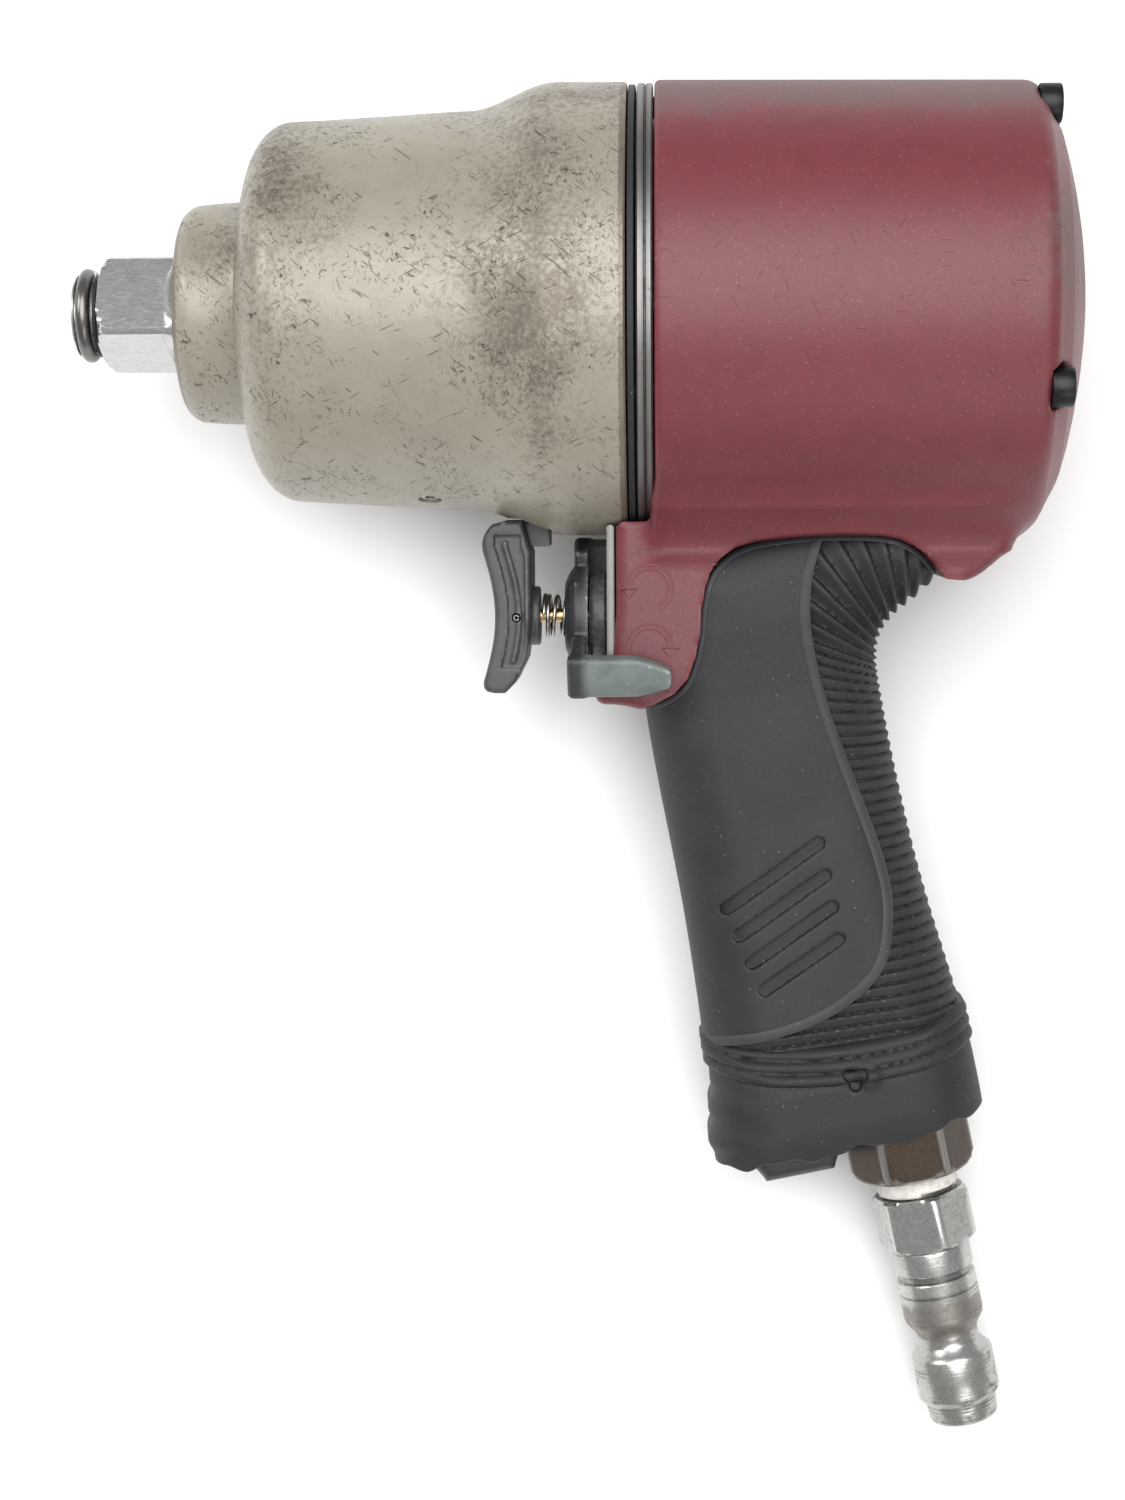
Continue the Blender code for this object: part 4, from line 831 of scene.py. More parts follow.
def inner_finish(name, base, roughness, metallic, size=0.8, stretch=(1, 1, 1), spread=0.18, height=0.02):
    """A clean but not perfect surface for pieces inside the tool."""
    finish = Finish(name, roughness=roughness, metallic=metallic)
    lines = finish.noise(size, 3, 0.6, stretch=stretch)
    cloudy = finish.noise(9, 4, 0.6, shift=3.0)
    film = finish.noise(3.5, 4, 0.65, shift=9.0).above(0.5, 0.78)
    tone = finish.mix(lines.above(0.3, 0.7), shade(base, 1 - spread), shade(base, 1 + spread))
    tone = finish.mix(film * 0.35, tone, shade(base, 0.4))
    return finish.paint(tone, roughness - 0.05 + cloudy * 0.12 + film * 0.12, None, lines + cloudy * 0.4,
                        height)


def pale_floor():
    """Matt white card under the tool."""
    finish = Finish("pale_floor", roughness=0.85, specular=0.2)
    tone = finish.mix(finish.noise(160, 2), (0.86, 0.86, 0.86), (0.89, 0.89, 0.885))
    return finish.paint(tone, 0.8 + finish.noise(3, 2) * 0.1, None, finish.noise(1.4, 3), 0.02)


# ---------------------------------------------------------------- shapes of the large pieces

NECK_FRONT = VALVE_PLATE_HIGH[0] + 0.3
NECK_OUTLINE = [(NECK_FRONT, -20), (NECK_FRONT, -78), (-9.6, -79.5), (-10.6, -81.5), (-9.6, -83.6),
                (-5.5, -83.6), tuple(on_handle(18.3, -34.4)), tuple(on_handle(40, 0)),
                tuple(on_handle(5.9, 36.9)), (72.6, -55), (75.8, -50.7), (79.8, -41), (83.4, -31.4),
                (84, -20)]
GRIP_TOP = handle_outline([(18.6, -38), (18.3, -34.4), (15.6, -25), (7.4, -20), (-3.1, -17.1), (-9.0, -13.6),
                           (-12.2, -6.8), (-11.4, 5), (-9.5, 15.7), (-7.2, 24), (-3.2, 29), (1.4, 31.8),
                           (5.2, 33.4), (6, 46)])
BLACK_OUTLINE = np.vstack((GRIP_TOP, handle_outline([(150, 46), (150, -60), (24, -60)])))
PANEL_EDGE = handle_outline([(-16, 10), (-9.8, 8.6), (-5, 6), (-0.9, 4.3), (4.5, 2.9), (9.7, 2.2),
                             (20.8, 2.2),
                             (32.4, 3.6), (46.4, 6), (58, 7.8), (65, 8.2), (69.5, 7.9), (77.2, 6.0),
                             (82, 3.4),
                             (85.4, -0.6), (89, -7.6), (91.2, -16), (92, -26), (91.8, -42)])
PANEL = Outline(np.vstack((PANEL_EDGE, handle_outline([(60, -60), (-30, -60), (-30, 10)]))))
GRIP_FRONT = [(-17, -25), (-4, -27), (8, -32.5), (18, -34.3), (34, -34.8), (50, -34.9), (64, -35.1),
              (80, -35.9),
              (93, -36.8), (108, -38.2)]
GRIP_BACK = [(-17, 33.6), (-6, 34.2), (0, 34), (4.6, 32.2), (7.8, 27), (10, 22.2), (14, 18), (20, 16.4),
             (32, 16.1), (46, 16.1), (64, 16.6), (80, 18), (93, 19.4), (108, 20)]
SILHOUETTE = Outline(softened(handle_outline(GRIP_FRONT + GRIP_BACK[::-1]), 2))
HALF_AT = (-17, 5, 12, 20, 46, 64, 80, 93, 120)
HALF_SIZE = (19.2, 19.0, 18.5, 18.1, 18.0, 18.2, 18.9, 19.5, 19.9)
EDGE_ROUND = 14.5
RIB_PITCH = 2.6
RIB_DEPTH = 0.95
# The ribs fan out from a point behind the web, then run on across the sleeve, ever less tilted
FAN_CENTRE = on_handle(23.9, 23.2)
FAN_END = 158.0
FAN_STEP = 8.0


def barrel_outline():
    """Motor housing from its front edge to the crown of its domed end."""
    edge_r, dome_height, taper = 4.0, 10.0, 0.8
    rear = HOUSING_REAR - dome_height
    rim = HOUSING_R - taper
    dome_r = (HOUSING_R ** 2 + dome_height ** 2) / (2 * dome_height)
    outline = [(HOUSING_FRONT, -1), (HOUSING_FRONT, HOUSING_R - 0.9), (HOUSING_FRONT + 0.3, HOUSING_R - 0.3),
               (HOUSING_FRONT + 1, HOUSING_R)]
    outline += arc((rear - edge_r + 0.6, rim - edge_r), edge_r, 90, 18)
    for radius in (40, 35, 30, 24, 18, 12, 6):
        outline.append((HOUSING_REAR - dome_r + math.sqrt(dome_r ** 2 - radius ** 2), radius))
    return outline + [(HOUSING_REAR, 0), (HOUSING_REAR, -1)]


BARREL = Outline(barrel_outline())
CUP = Outline([(HOUSING_FRONT - 9, -1), (HOUSING_FRONT - 9, CUP_R), (CUP_END, CUP_R), (CUP_END, -1)])
VALVE_BORE = Outline([(-40, -1), (-40, SHANK_ROOM_R), (14, SHANK_ROOM_R), (14, -1)])
NECK = Outline(softened(NECK_OUTLINE, 1))
BLACK = Outline(softened(BLACK_OUTLINE, 1))


def handle_distance(points, inset=0.0):
    """The plain handle, without ribs or boot."""
    s, _ = handle_places(points)
    side = SILHOUETTE.side(points)
    depth = np.abs(points[:, 2]) - np.interp(s, HALF_AT, HALF_SIZE)
    crown = 0.9 * step_between(0, 20, np.abs(side))
    return meet(side, depth + 0.9 - crown, EDGE_ROUND) + inset


def housing_distance(points):
    """Barrel and neck in one moulding, hollow for the motor and cut back for the grip."""
    barrel = BARREL.spun(points)
    neck = slab_distance(points, NECK, -NECK_HALF, NECK_HALF, 2.6)
    y, z = points[:, 1], np.abs(points[:, 2])
    skirt_half = np.interp(-y, (34, 42, 50), (25.4, 25.0, NECK_HALF - 0.6))
    skirt = meet(np.abs(points[:, 0] - 39.5) - 37.0, np.maximum(z - skirt_half, y + 34), 3.0)
    skirt = np.maximum(skirt, -50.5 - y)
    neck = melt(neck, skirt, 5.0)
    front = HOUSING_FRONT - points[:, 0]
    room = np.hypot(y, points[:, 2]) - HOUSING_R - 0.4
    neck = np.maximum(neck, np.minimum(front + 0.3, -room))
    black = BLACK.side(points)
    neck = carve(neck, black - 0.25, 0.5)
    shape = melt(barrel, neck, 7.0)
    shape = np.where(front > 0.8, neck, shape)
    core = meet(handle_distance(points, 2.8), handle_places(points)[0] - 116.0)
    shape = np.minimum(shape, core)
    shape = carve(shape, CUP.spun(points), 0.4)
    for angle in BOLT_ANGLES:
        y0, z0 = polar(BOLT_CIRCLE, angle)
        away = np.hypot(points[:, 1] - y0, points[:, 2] - z0)
        pocket = np.maximum(away - 4.8 - 0.03 * (points[:, 0] - BOLT_SEAT), BOLT_SEAT - points[:, 0])
        shape = carve(shape, pocket, 0.6)
    return carve(shape, VALVE_BORE.spun(points, (ROD_LEVEL, 0)), 0.3)


def rib_phase(points):
    """Counts the grip's ribs: whole numbers lie in the bottom of a groove."""
    away = points[:, :2] - FAN_CENTRE
    angle = np.degrees(np.arctan2(away[:, 1], away[:, 0]))
    s, e = handle_places(points)
    plain = np.zeros(len(points))
    for _ in range(6):
        tilt = 0.06 + 0.6 * np.exp(-np.maximum(plain, 0) / 6)
        plain = (s - 10.7 - tilt * (e - 3)) / RIB_PITCH
    return np.where((angle > 40) & (angle < FAN_END), (angle - FAN_END) / FAN_STEP, np.maximum(plain, 0))


def rib_height(points):
    """Shingled ribs: each rises sharply and falls away slowly."""
    phase = rib_phase(points)
    share = phase - np.floor(phase)
    fall = np.where(phase < 0, 0.85, 0.55)
    rise = step_between(0.0, 0.2, share) * (1 - fall * step_between(0.2, 0.95, share))
    return rise * (1 - step_between(0.86, 1.0, share))


def boot_down(points):
    """How far below the boot's bowed top edge each point is."""
    s, e = handle_places(points)
    bulge = 4.2 * (1 - ((e + 9) / 30) ** 2) * step_between(6, 18, np.abs(points[:, 2]))
    return s - 92.4 - 0.09 * (e + 9) - bulge


def strap_distance(points):
    """The ribbed sleeve; the side panel lies over it."""
    s, _ = handle_places(points)
    depth = RIB_DEPTH * (1 + 0.6 * step_between(18, 8, s))
    shape = handle_distance(points) + 0.1 + depth * (1 - rib_height(points))
    black = BLACK.side(points)
    shape = meet(shape, black + 0.15, 0.3)
    shape = np.maximum(shape, boot_down(points) - BOOT_LAP)
    shape = np.maximum(shape, -3.0 - PANEL.side(points))
    return np.maximum(shape, -handle_distance(points, SLEEVE_THICKNESS))


def slot_outlines():
    """Four plain slanted grip slots, as centre lines."""
    rows = []
    for row in range(4):
        rows.append((on_handle(63.5 + 6.2 * row, -26 + 1.5 * row), on_handle(53.5 + 7 * row, -4)))
    return rows


SLOTS = slot_outlines()
SLOT_HALF = 1.4


def slot_distance(points):
    """Distance to the slots on the side plane."""
    nearest = np.full(len(points), 99.0)
    for start, end in SLOTS:
        along = end - start
        share = np.clip((points[:, :2] - start) @ along / (along @ along), 0, 1)
        away = points[:, :2] - start - share[:, None] * along
        nearest = np.minimum(nearest, np.hypot(away[:, 0], away[:, 1]) - SLOT_HALF)
    return nearest


def panel_distance(points):
    """The smooth side panel that wraps round the front of the grip, with slots moulded in."""
    shape = handle_distance(points) - 0.25
    edge = PANEL.side(points)
    shape = meet(shape, edge + 0.2, 0.7)
    black = BLACK.side(points)
    shape = meet(shape, black + 0.1, 0.5)
    slots = np.maximum(slot_distance(points), -(np.abs(points[:, 2]) - 8))
    shape = carve(shape, np.maximum(slots, -(handle_distance(points) + 1.1)), 0.45)
    shape = np.maximum(shape, boot_down(points) - BOOT_LAP)
    return np.maximum(shape, -handle_distance(points, PANEL_THICKNESS))


BOOT_FRONT = [(88, -37.2), (99, -37.4), (104, -38.2), (110, -39.6), (114, -40.6), (122, -40.4), (130, -40)]
BOOT_BACK = [(88, 20), (99, 20.2), (106, 20.4), (114, 20.4), (122, 20.2), (130, 20)]
BOOT_SIDE = Outline(softened(handle_outline(BOOT_FRONT + BOOT_BACK[::-1]), 2))
BEAD_PITCH = 2.7
BEAD_RISE = 1.15
TEAR_AT = on_handle(104.4, -6.5)


def boot_distance(points):
    """Rubber boot: three rings at the top, a torn lower edge and a melted hole."""
    s, e = handle_places(points)
    z = np.abs(points[:, 2])
    down = boot_down(points)
    ring = (down - 0.4) / BEAD_PITCH
    share = ring - np.floor(ring)
    bead = np.sqrt(np.maximum(0, 1 - (2 * share - 1) ** 2))
    bead = np.where((ring > 0) & (ring < 3), bead * BEAD_RISE, 0.0)
    step = 0.7 * step_between(3.0, 3.5, ring)
    half = np.interp(s, (88, 101, 106, 114, 122), (20.3, 20.5, 21.5, 21.8, 21.9))
    side = BOOT_SIDE.side(points)
    wave = 0.5 * np.sin(s * 0.9 + e * 0.1) * step_between(-28, -36, e) * step_between(100, 104, s)
    shape = meet(side, z - half, 16.5) + wave * 0.8 - bead + 0.6 - step * 0.3
    end = 119.9 + 0.7 * np.sin(e * 0.33 + 1.0) + 0.35 * np.sin(e * 0.9) - 1.2 * step_between(-30, -40, e)
    end = end - 0.012 * (e + 10) ** 2 * step_between(-10, 20, e) * 0.2
    shape = meet(shape, s - end, 0.6)
    shape = meet(shape, -down, 0.5)
    hole = np.hypot(points[:, 0] - TEAR_AT[0], points[:, 1] - TEAR_AT[1]) \
        - 2.3 - 0.5 * np.sin(3 * np.arctan2(points[:, 1] - TEAR_AT[1], points[:, 0] - TEAR_AT[0]))
    lip = np.hypot(points[:, 0] - TEAR_AT[0] - 3.0, points[:, 1] - TEAR_AT[1] - 0.6)
    shape = shape - 1.0 * step_between(3.6, 0.6, lip) * (points[:, 2] > 0)
    shape = carve(shape, np.maximum(hole, -(shape + 1.7) - 40 * (points[:, 2] < 0)), 0.5)
    inner = meet(side, z - half, 16.5) + 3.2
    return np.maximum(shape, -np.maximum(inner, 98 - s))


# ---------------------------------------------------------------- settings a maker would change

def colour_property(name, description, default):
    return FloatVectorProperty(name=name, description=description, default=default, size=3, min=0, max=1,
                               subtype="COLOR")


class WrenchColours(bpy.types.PropertyGroup):
    """Colours of the visible finishes."""
    case_paint: colour_property("Case paint", "Enamel on the hammer case", (0.285, 0.262, 0.21))
    case_rubbed: colour_property("Rubbed case", "Where the enamel is rubbed thin", (0.12, 0.10, 0.078))
    grime: colour_property("Grime", "Dirt in chips and scratches", (0.045, 0.038, 0.03))
    red: colour_property("Red composite", "Motor housing", (0.135, 0.021, 0.028))
    scuff: colour_property("Scuffs", "Grey scuffs on the housing", (0.115, 0.09, 0.086))
    rubber: colour_property("Rubber", "Grip and boot", (0.017, 0.0172, 0.019))
    plastic: colour_property("Trigger plastic", "Trigger and reverse knob", (0.04, 0.04, 0.042))
    tab: colour_property("Tab paint", "Finger tabs of the reverse lever", (0.12, 0.14, 0.135))
    zinc: colour_property("Zinc plate", "Air plug", (0.42, 0.42, 0.405))
    inlet: colour_property("Inlet steel", "Brown steel of the air inlet", (0.06, 0.045, 0.036))


class WrenchSizes(bpy.types.PropertyGroup):
    """How finely the pieces are made and how the tool is framed."""
    sides: IntProperty(name="Sides", description="Sides of each large turned piece", default=160, min=24)
    housing_cell: FloatProperty(name="Housing detail", description="Spacing of the housing's surface, mm",
                                default=0.85, min=0.3, max=3)
    grip_cell: FloatProperty(name="Grip detail", description="Spacing of the grip's surface, mm",
                             default=0.5, min=0.2, max=2)
    small_cell: FloatProperty(name="Small detail", description="Spacing on trigger and lever, mm",
                              default=0.4, min=0.15, max=1)
    camera_height: FloatProperty(name="Camera height", description="Camera above the barrel's axis",
                                 default=0.593, min=0.2, unit="LENGTH")
    lens: FloatProperty(name="Lens", description="Camera's focal length, mm", default=65.3, min=20, max=200)


def colours():
    """The scene's colour settings."""
    return bpy.context.scene.wrench_colours


def plain_colours():
    """The colours as plain tuples, so they can be shaded."""
    group = colours()

    class Plain:
        pass

    plain = Plain()
    for name in WrenchColours.__annotations__:
        setattr(plain, name, tuple(getattr(group, name)))
    return plain


# ---------------------------------------------------------------- operators, one for each group of pieces

class WRENCH_OT_stage(bpy.types.Operator):
    """Make the pale floor, the soft lights and the camera"""
    bl_idname = "wrench.stage"
    bl_label = "Stage, lights and camera"

    def execute(self, context):
        scene = context.scene
        sizes = scene.wrench_sizes
        floor = bpy.data.meshes.new("floor")
        bm = bmesh.new()
        bmesh.ops.create_grid(bm, x_segments=2, y_segments=2, size=3.0)
        bm.to_mesh(floor)
        bm.free()
        floor.materials.append(pale_floor())
        floor_item = bpy.data.objects.new("floor", floor)
        scene.collection.objects.link(floor_item)

        world = bpy.data.worlds.new("soft_room")
        world.use_nodes = True
        world.node_tree.nodes["Background"].inputs["Color"].default_value = (1, 1, 1, 1)
        world.node_tree.nodes["Background"].inputs["Strength"].default_value = 0.5
        scene.world = world
        self.light("overhead", (0.1, 0.25, 1.5), (0, 0, 0), 1.6, 26)
        self.light("left_window", (-1.0, 0.5, 0.9), (0, 0, 0), 0.7, 7)
        self.light("near_fill", (0.5, -1.1, 0.9), (0, 0, 0), 0.8, 4)

        camera = bpy.data.cameras.new("camera")
        camera.lens = sizes.lens
        camera.sensor_width = 36
        camera.clip_start = 0.01
        item = bpy.data.objects.new("camera", camera)
        scene.collection.objects.link(item)
        lean = Euler([math.radians(turn) for turn in (-5.71, 2.24, -0.34)]).to_matrix().to_4x4()
        item.matrix_world = TOOL @ Matrix.Translation((0.0054, -0.0358, sizes.camera_height)) @ lean
        scene.camera = item
        scene.view_settings.view_transform = "Standard"
        return {"FINISHED"}

    @staticmethod
    def light(name, place, target, size, power):
        data = bpy.data.lights.new(name, "AREA")
        data.shape = "DISK"
        data.size = size
        data.energy = power
        item = bpy.data.objects.new(name, data)
        item.location = place
        item.rotation_euler = (Vector(target) - Vector(place)).to_track_quat("-Z", "Y").to_euler()
        bpy.context.scene.collection.objects.link(item)


class WRENCH_OT_hammer_case(bpy.types.Operator):
    """Turn the painted hammer case, cut its trigger relief and seat its grease screw"""
    bl_idname = "wrench.hammer_case"
    bl_label = "Hammer case"

    def execute(self, context):
        sides = context.scene.wrench_sizes.sides
        nose_r, root, front_r, waist_r = 23.7, NOSE_FACE + 14.4, 40.5, 42.4
        dome, waist, swell = 10.1, -37.0, 19.0
        bore = 15.3
        outline = [(NOSE_FACE + 1.6, bore), (NOSE_FACE + 0.5, bore + 0.2), (NOSE_FACE, bore + 0.9)]
        outline += [(NOSE_FACE, nose_r - 7.0), (NOSE_FACE + 0.35, nose_r - 6.6)]
        outline += arc((NOSE_FACE + 4.4, nose_r - 4.4 - 0.4), 4.4, 170, 90, 8)
        outline += [(NOSE_FACE + 8, nose_r - 0.15), (root - 1.6, nose_r + 0.1), (root - 0.6, nose_r + 0.5),
                    (root - 0.1, nose_r + 1.4)]
        for step in range(11):
            angle = math.radians(12 + 78 * step / 10)
            outline.append((root + dome * (1 - math.cos(angle)),
                            nose_r + 1.2 + (front_r - nose_r - 1.2) * math.sin(angle)))
        outline += [(root + dome + 6, front_r + 0.3), (waist - 14, waist_r - 0.7),
                    (waist - 4, waist_r - 0.1)]
        for step in range(13):
            share = step / 12
            blend = share * share * (3 - 2 * share)
            outline.append((waist + swell * share, waist_r + (FLANGE_R - waist_r) * blend))
        outline += [(-10, FLANGE_R), (CASE_REAR - 2.6, FLANGE_R), (CASE_REAR - 0.4, FLANGE_R - 0.1),
                    (CASE_REAR, FLANGE_R - 0.5), (CASE_REAR, 37.2), (NOSE_FACE + 27.7, 37.2),
                    (NOSE_FACE + 26.5, 36.0), (NOSE_FACE + 26.5, bore)]

        def cast(x, radius, angle):
            """The casting's slight unevenness, outside only."""
            turn = math.radians(angle)
            if radius < 22 or x > -6 or radius == 37.2 or radius == 36.0:
                return 0.0
            return 0.09 * math.sin(3 * turn + x * 0.11) + 0.06 * math.sin(7 * turn - x * 0.2)

        case = spun("hammer_case_painted", outline, sides, wobble=cast)
        relief = rounded_slab("relief", (waist, -FLANGE_R - 5, -11.5), (-19.7, -44.2, 11.5), 0.8)
        lug = rounded_slab("lug_room", (-21, -FLANGE_R - 5, -3.6), (-15.6, -44.2, 3.6), 0.5)
        port_at = -45.6
        side = math.radians(17)
        out = Vector((0, -math.cos(side), math.sin(side)))
        port = spun("port", [(36, 0), (36, 2.5), (44.5, 2.5), (44.5, 0)], 28)
        turn = Matrix((out, Vector((1, 0, 0)), out.cross(Vector((1, 0, 0))))).transposed().to_4x4()
        turn.translation = Vector((port_at, 0, 0))
        port.transform(turn)
        case = cut_with(case, relief, lug, port)
        place_piece("hammer_case_painted", case, worn_case_paint(plain_colours()), "body", ("hammer_case",))
        screw = spun("grease_screw_plug",
                     [(37.6, 0), (37.6, 2.3), (41.0, 2.3), (41.4, 1.9), (41.4, 1.1), (40.2, 1.0),
                                           (40.2, 0)], 28)
        screw.transform(turn)
        place_piece("grease_screw_plug", screw, machined_steel("screw_steel", (0.45, 0.44, 0.42), 0.3),
                    "body",
                    ("grease_screw",))
        return {"FINISHED"}


class WRENCH_OT_flange(bpy.types.Operator):
    """Turn the gasket, the front plate's rim and the nose seal"""
    bl_idname = "wrench.flange"
    bl_label = "Flange rings and nose seal"

    def execute(self, context):
        sides = context.scene.wrench_sizes.sides
        gasket = spun("flange_gasket",
                      [(GASKET_FRONT, 37.5), (GASKET_FRONT, 47.2), (GASKET_FRONT + 0.2, 47.5),
                                        (GASKET_REAR - 0.2, 47.5), (GASKET_REAR, 47.2), (GASKET_REAR, 37.5)],
                                        sides)
        place_piece("flange_gasket", gasket, grip_rubber(plain_colours(), "gasket_rubber", 0.6), "body",
                    ("case_gasket",))
        plate_front, rim = GASKET_REAR + 0.3, FLANGE_R - 0.3
        plate = spun("front_plate", [(plate_front, 21.7), (plate_front, rim - 0.5), (plate_front + 0.4, rim),
                                     (plate_front + 1.5, rim), (plate_front + 1.65, rim - 0.35),
                                     (plate_front + 1.95, rim - 0.35), (plate_front + 2.1, rim),
                                     (PLATE_REAR - 0.4, rim), (PLATE_REAR, rim - 0.4), (PLATE_REAR, 9.0),
                                     (PLATE_REAR - 4.2, 9.0), (PLATE_REAR - 4.2, 17.8),
                                     (PLATE_REAR - 15.2, 17.8),
                                     (PLATE_REAR - 15.2, 21.4), (PLATE_REAR - 14.9, 21.7)], sides)
        place_piece("front_plate", plate,
                    machined_steel("plate_alloy", (0.09, 0.088, 0.085), 0.45, grime_amount=0.75, size=0.8),
                    "body",
                    ("front_end_plate",))
        seal = spun("nose_seal", [(NOSE_FACE + 0.8, 13.2), (NOSE_FACE + 0.8, 14.8), (NOSE_FACE + 1.0, 15.0),
                                  (NOSE_FACE + 3.4, 15.0), (NOSE_FACE + 3.4, 13.1),
                                  (NOSE_FACE + 1.6, 13.05)], 96)
        place_piece("nose_seal", seal, grip_rubber(plain_colours(), "seal_rubber", 0.7), "body",
                    ("anvil_seal",))
        return {"FINISHED"}


class WRENCH_OT_anvil(bpy.types.Operator):
    """Model the square drive with its socket ring and O-ring"""
    bl_idname = "wrench.anvil"
    bl_label = "Square drive"

    def execute(self, context):
        half, corner, turn = 9.525, 12.7, 27.0
        face = NOSE_FACE - DRIVE_LENGTH

        def section(x, radius=None, limit=corner, count=192):
            ring = []
            for step in range(count):
                angle = 2 * math.pi * step / count
                reach_out = radius
                if radius is None:
                    square = half / max(abs(math.cos(angle)), abs(math.sin(angle)))
                    reach_out = min(square, limit)
                ring.append((x, *polar(reach_out, math.degrees(angle) + turn)))
            return ring

        def morph(x, radius, share):
            """Between the square and a round shoulder."""
            square = section(x)
            round_part = section(x, radius)
            return [tuple(a + (b - a) * share for a, b in zip(one, two)) for one,
                    two in zip(square, round_part)]

        rows = [section(DRIVE_TIP + 0.3, 6.2), section(DRIVE_TIP, 6.8), section(DRIVE_TIP, 8.2),
                section(DRIVE_TIP + 0.25, 8.7), section(DRIVE_TIP + 0.6, 8.75),
                section(DRIVE_TIP + 0.7, 7.6),
                section(face, 7.6), section(face + 0.02, limit=10.2),
                section(face + 0.5, limit=11.2), section(face + 1.5, limit=12.4),
                section(face + 2.1), section(face + 2.4), section(NOSE_FACE - 3.6), section(NOSE_FACE - 3.2),
                morph(NOSE_FACE - 2.2, JOURNAL_R, 0.25), morph(NOSE_FACE - 1.3, JOURNAL_R, 0.7),
                section(NOSE_FACE - 0.6, JOURNAL_R), section(NOSE_FACE + 34, JOURNAL_R),
                section(NOSE_FACE + 34.4, 11.0), section(NOSE_FACE + 70, 11.0)]
        drive = loft("square_drive", rows, sharp=24)
        lugs = []
        for number in range(2):
            place = reach(("hammer_front", "hammer_rear")[number])
            ring = [polar(8, 46 + 180 * number + 28 * k / 6) for k in range(7)]
            outer = [polar(15, 74 + 180 * number - 28 * k / 6) for k in range(7)]
            outline = ring + outer
            lugs.append(loft(f"lug_{number}", [[(place[0][0] + 1.5, y, z) for y, z in outline],
                                              [(place[1][0] - 1.5, y, z) for y, z in outline]]))
        pilot = spun("pilot", [(NOSE_FACE + 69, 0), (NOSE_FACE + 69, 6.6), (reach("anvil")[1][0], 6.6),
                               (reach("anvil")[1][0], 0)], 48)
        drive = merged("square_drive", [drive, pilot] + lugs, 24)
        steel = machined_steel("satin_drive_steel", (0.5, 0.5, 0.5), 0.28, (0.06, 0.05, 0.045), 0.3,
                               stretch=(0.25, 2.5, 2.5), size=0.6)
        place_piece("square_drive", drive, steel, "anvil_body", ("anvil",))
        ring_low, ring_high = reach("socket_ring")
        rings = []
        for step in range(97):
            angle = 97 + 346 * step / 96
            section_points = arc((0, 0), 1.55, 0, 330, 11)
            tip = 0.8 if step in (0, 96) else 1.0
            rings.append([((ring_low[0] + ring_high[0]) / 2 + a * tip, *polar(8.75 + b * 0.92 * tip, angle))
                          for a, b in section_points])
        socket_ring = loft("split_socket_ring", rings, sharp=50)
        place_piece("split_socket_ring", socket_ring,
                    machined_steel("ring_steel", (0.09, 0.085, 0.08), 0.3, grime_amount=0.4, wear=0.5),
                    "anvil_body",
                    ("socket_ring",))
        o_low, o_high = reach("ring_o_ring")
        o_ring = spun("backing_o_ring", arc(((o_low[0] + o_high[0]) / 2, 8.55), 0.45, 0, 340, 11), 72)
        place_piece("backing_o_ring", o_ring, grip_rubber(plain_colours(), "o_ring_rubber", 0.6),
                    "anvil_body",
                    ("ring_o_ring",))
        return {"FINISHED"}


class WRENCH_OT_housing(bpy.types.Operator):
    """Mould the red motor housing with its neck and arrow marks"""
    bl_idname = "wrench.housing"
    bl_label = "Motor housing"

    def execute(self, context):
        low, high = reach("motor_housing")
        cell = context.scene.wrench_sizes.housing_cell
        mesh = skinned("motor_housing_moulding", housing_distance, low - 1.5, high + 1.5, cell, 40)
        red = scuffed_red(plain_colours())
        place_piece("motor_housing_moulding", mesh, red, "body", ("motor_housing",))
        marks = []
        for side in (1, -1):
            marks.append(self.turn_arrow(-58.9, side, 205, -75))
            marks.append(self.turn_arrow(-71.4, side, -25, 205))
        place_piece("turn_arrows", merged("turn_arrows", marks, 50), red, "body", ())
        return {"FINISHED"}

    @staticmethod
    def turn_arrow(level, side, start, end):
        """Two thin raised lines round most of a circle, with an arrowhead at the start."""
        height = NECK_HALF + 0.02
        parts = []
        for radius in (4.0, 5.0):
            inner_turn = math.copysign(26, end - start) * 4.5 / radius
            turn = inner_turn if radius < 4.5 else math.copysign(24, end - start)
            path = [(1.1 + a, level + b, side * height)
                    for a, b in arc((0, 0), radius, start + turn, end, 40)]
            parts.append(tube("line", path, 0.2, 8, ends=True))
        direction = math.copysign(1, end - start)
        tip = [(4.5, start), (6.5, start + direction * 24), (2.6, start + direction * 24), (4.5, start)]
        corners = [(1.1 + r * math.cos(math.radians(a)), level + r * math.sin(math.radians(a)),
                    side * height)
                   for r, a in tip]
        parts.append(tube("head", corners, 0.22, 8, ends=False))
        return merged("arrow", parts, 50)


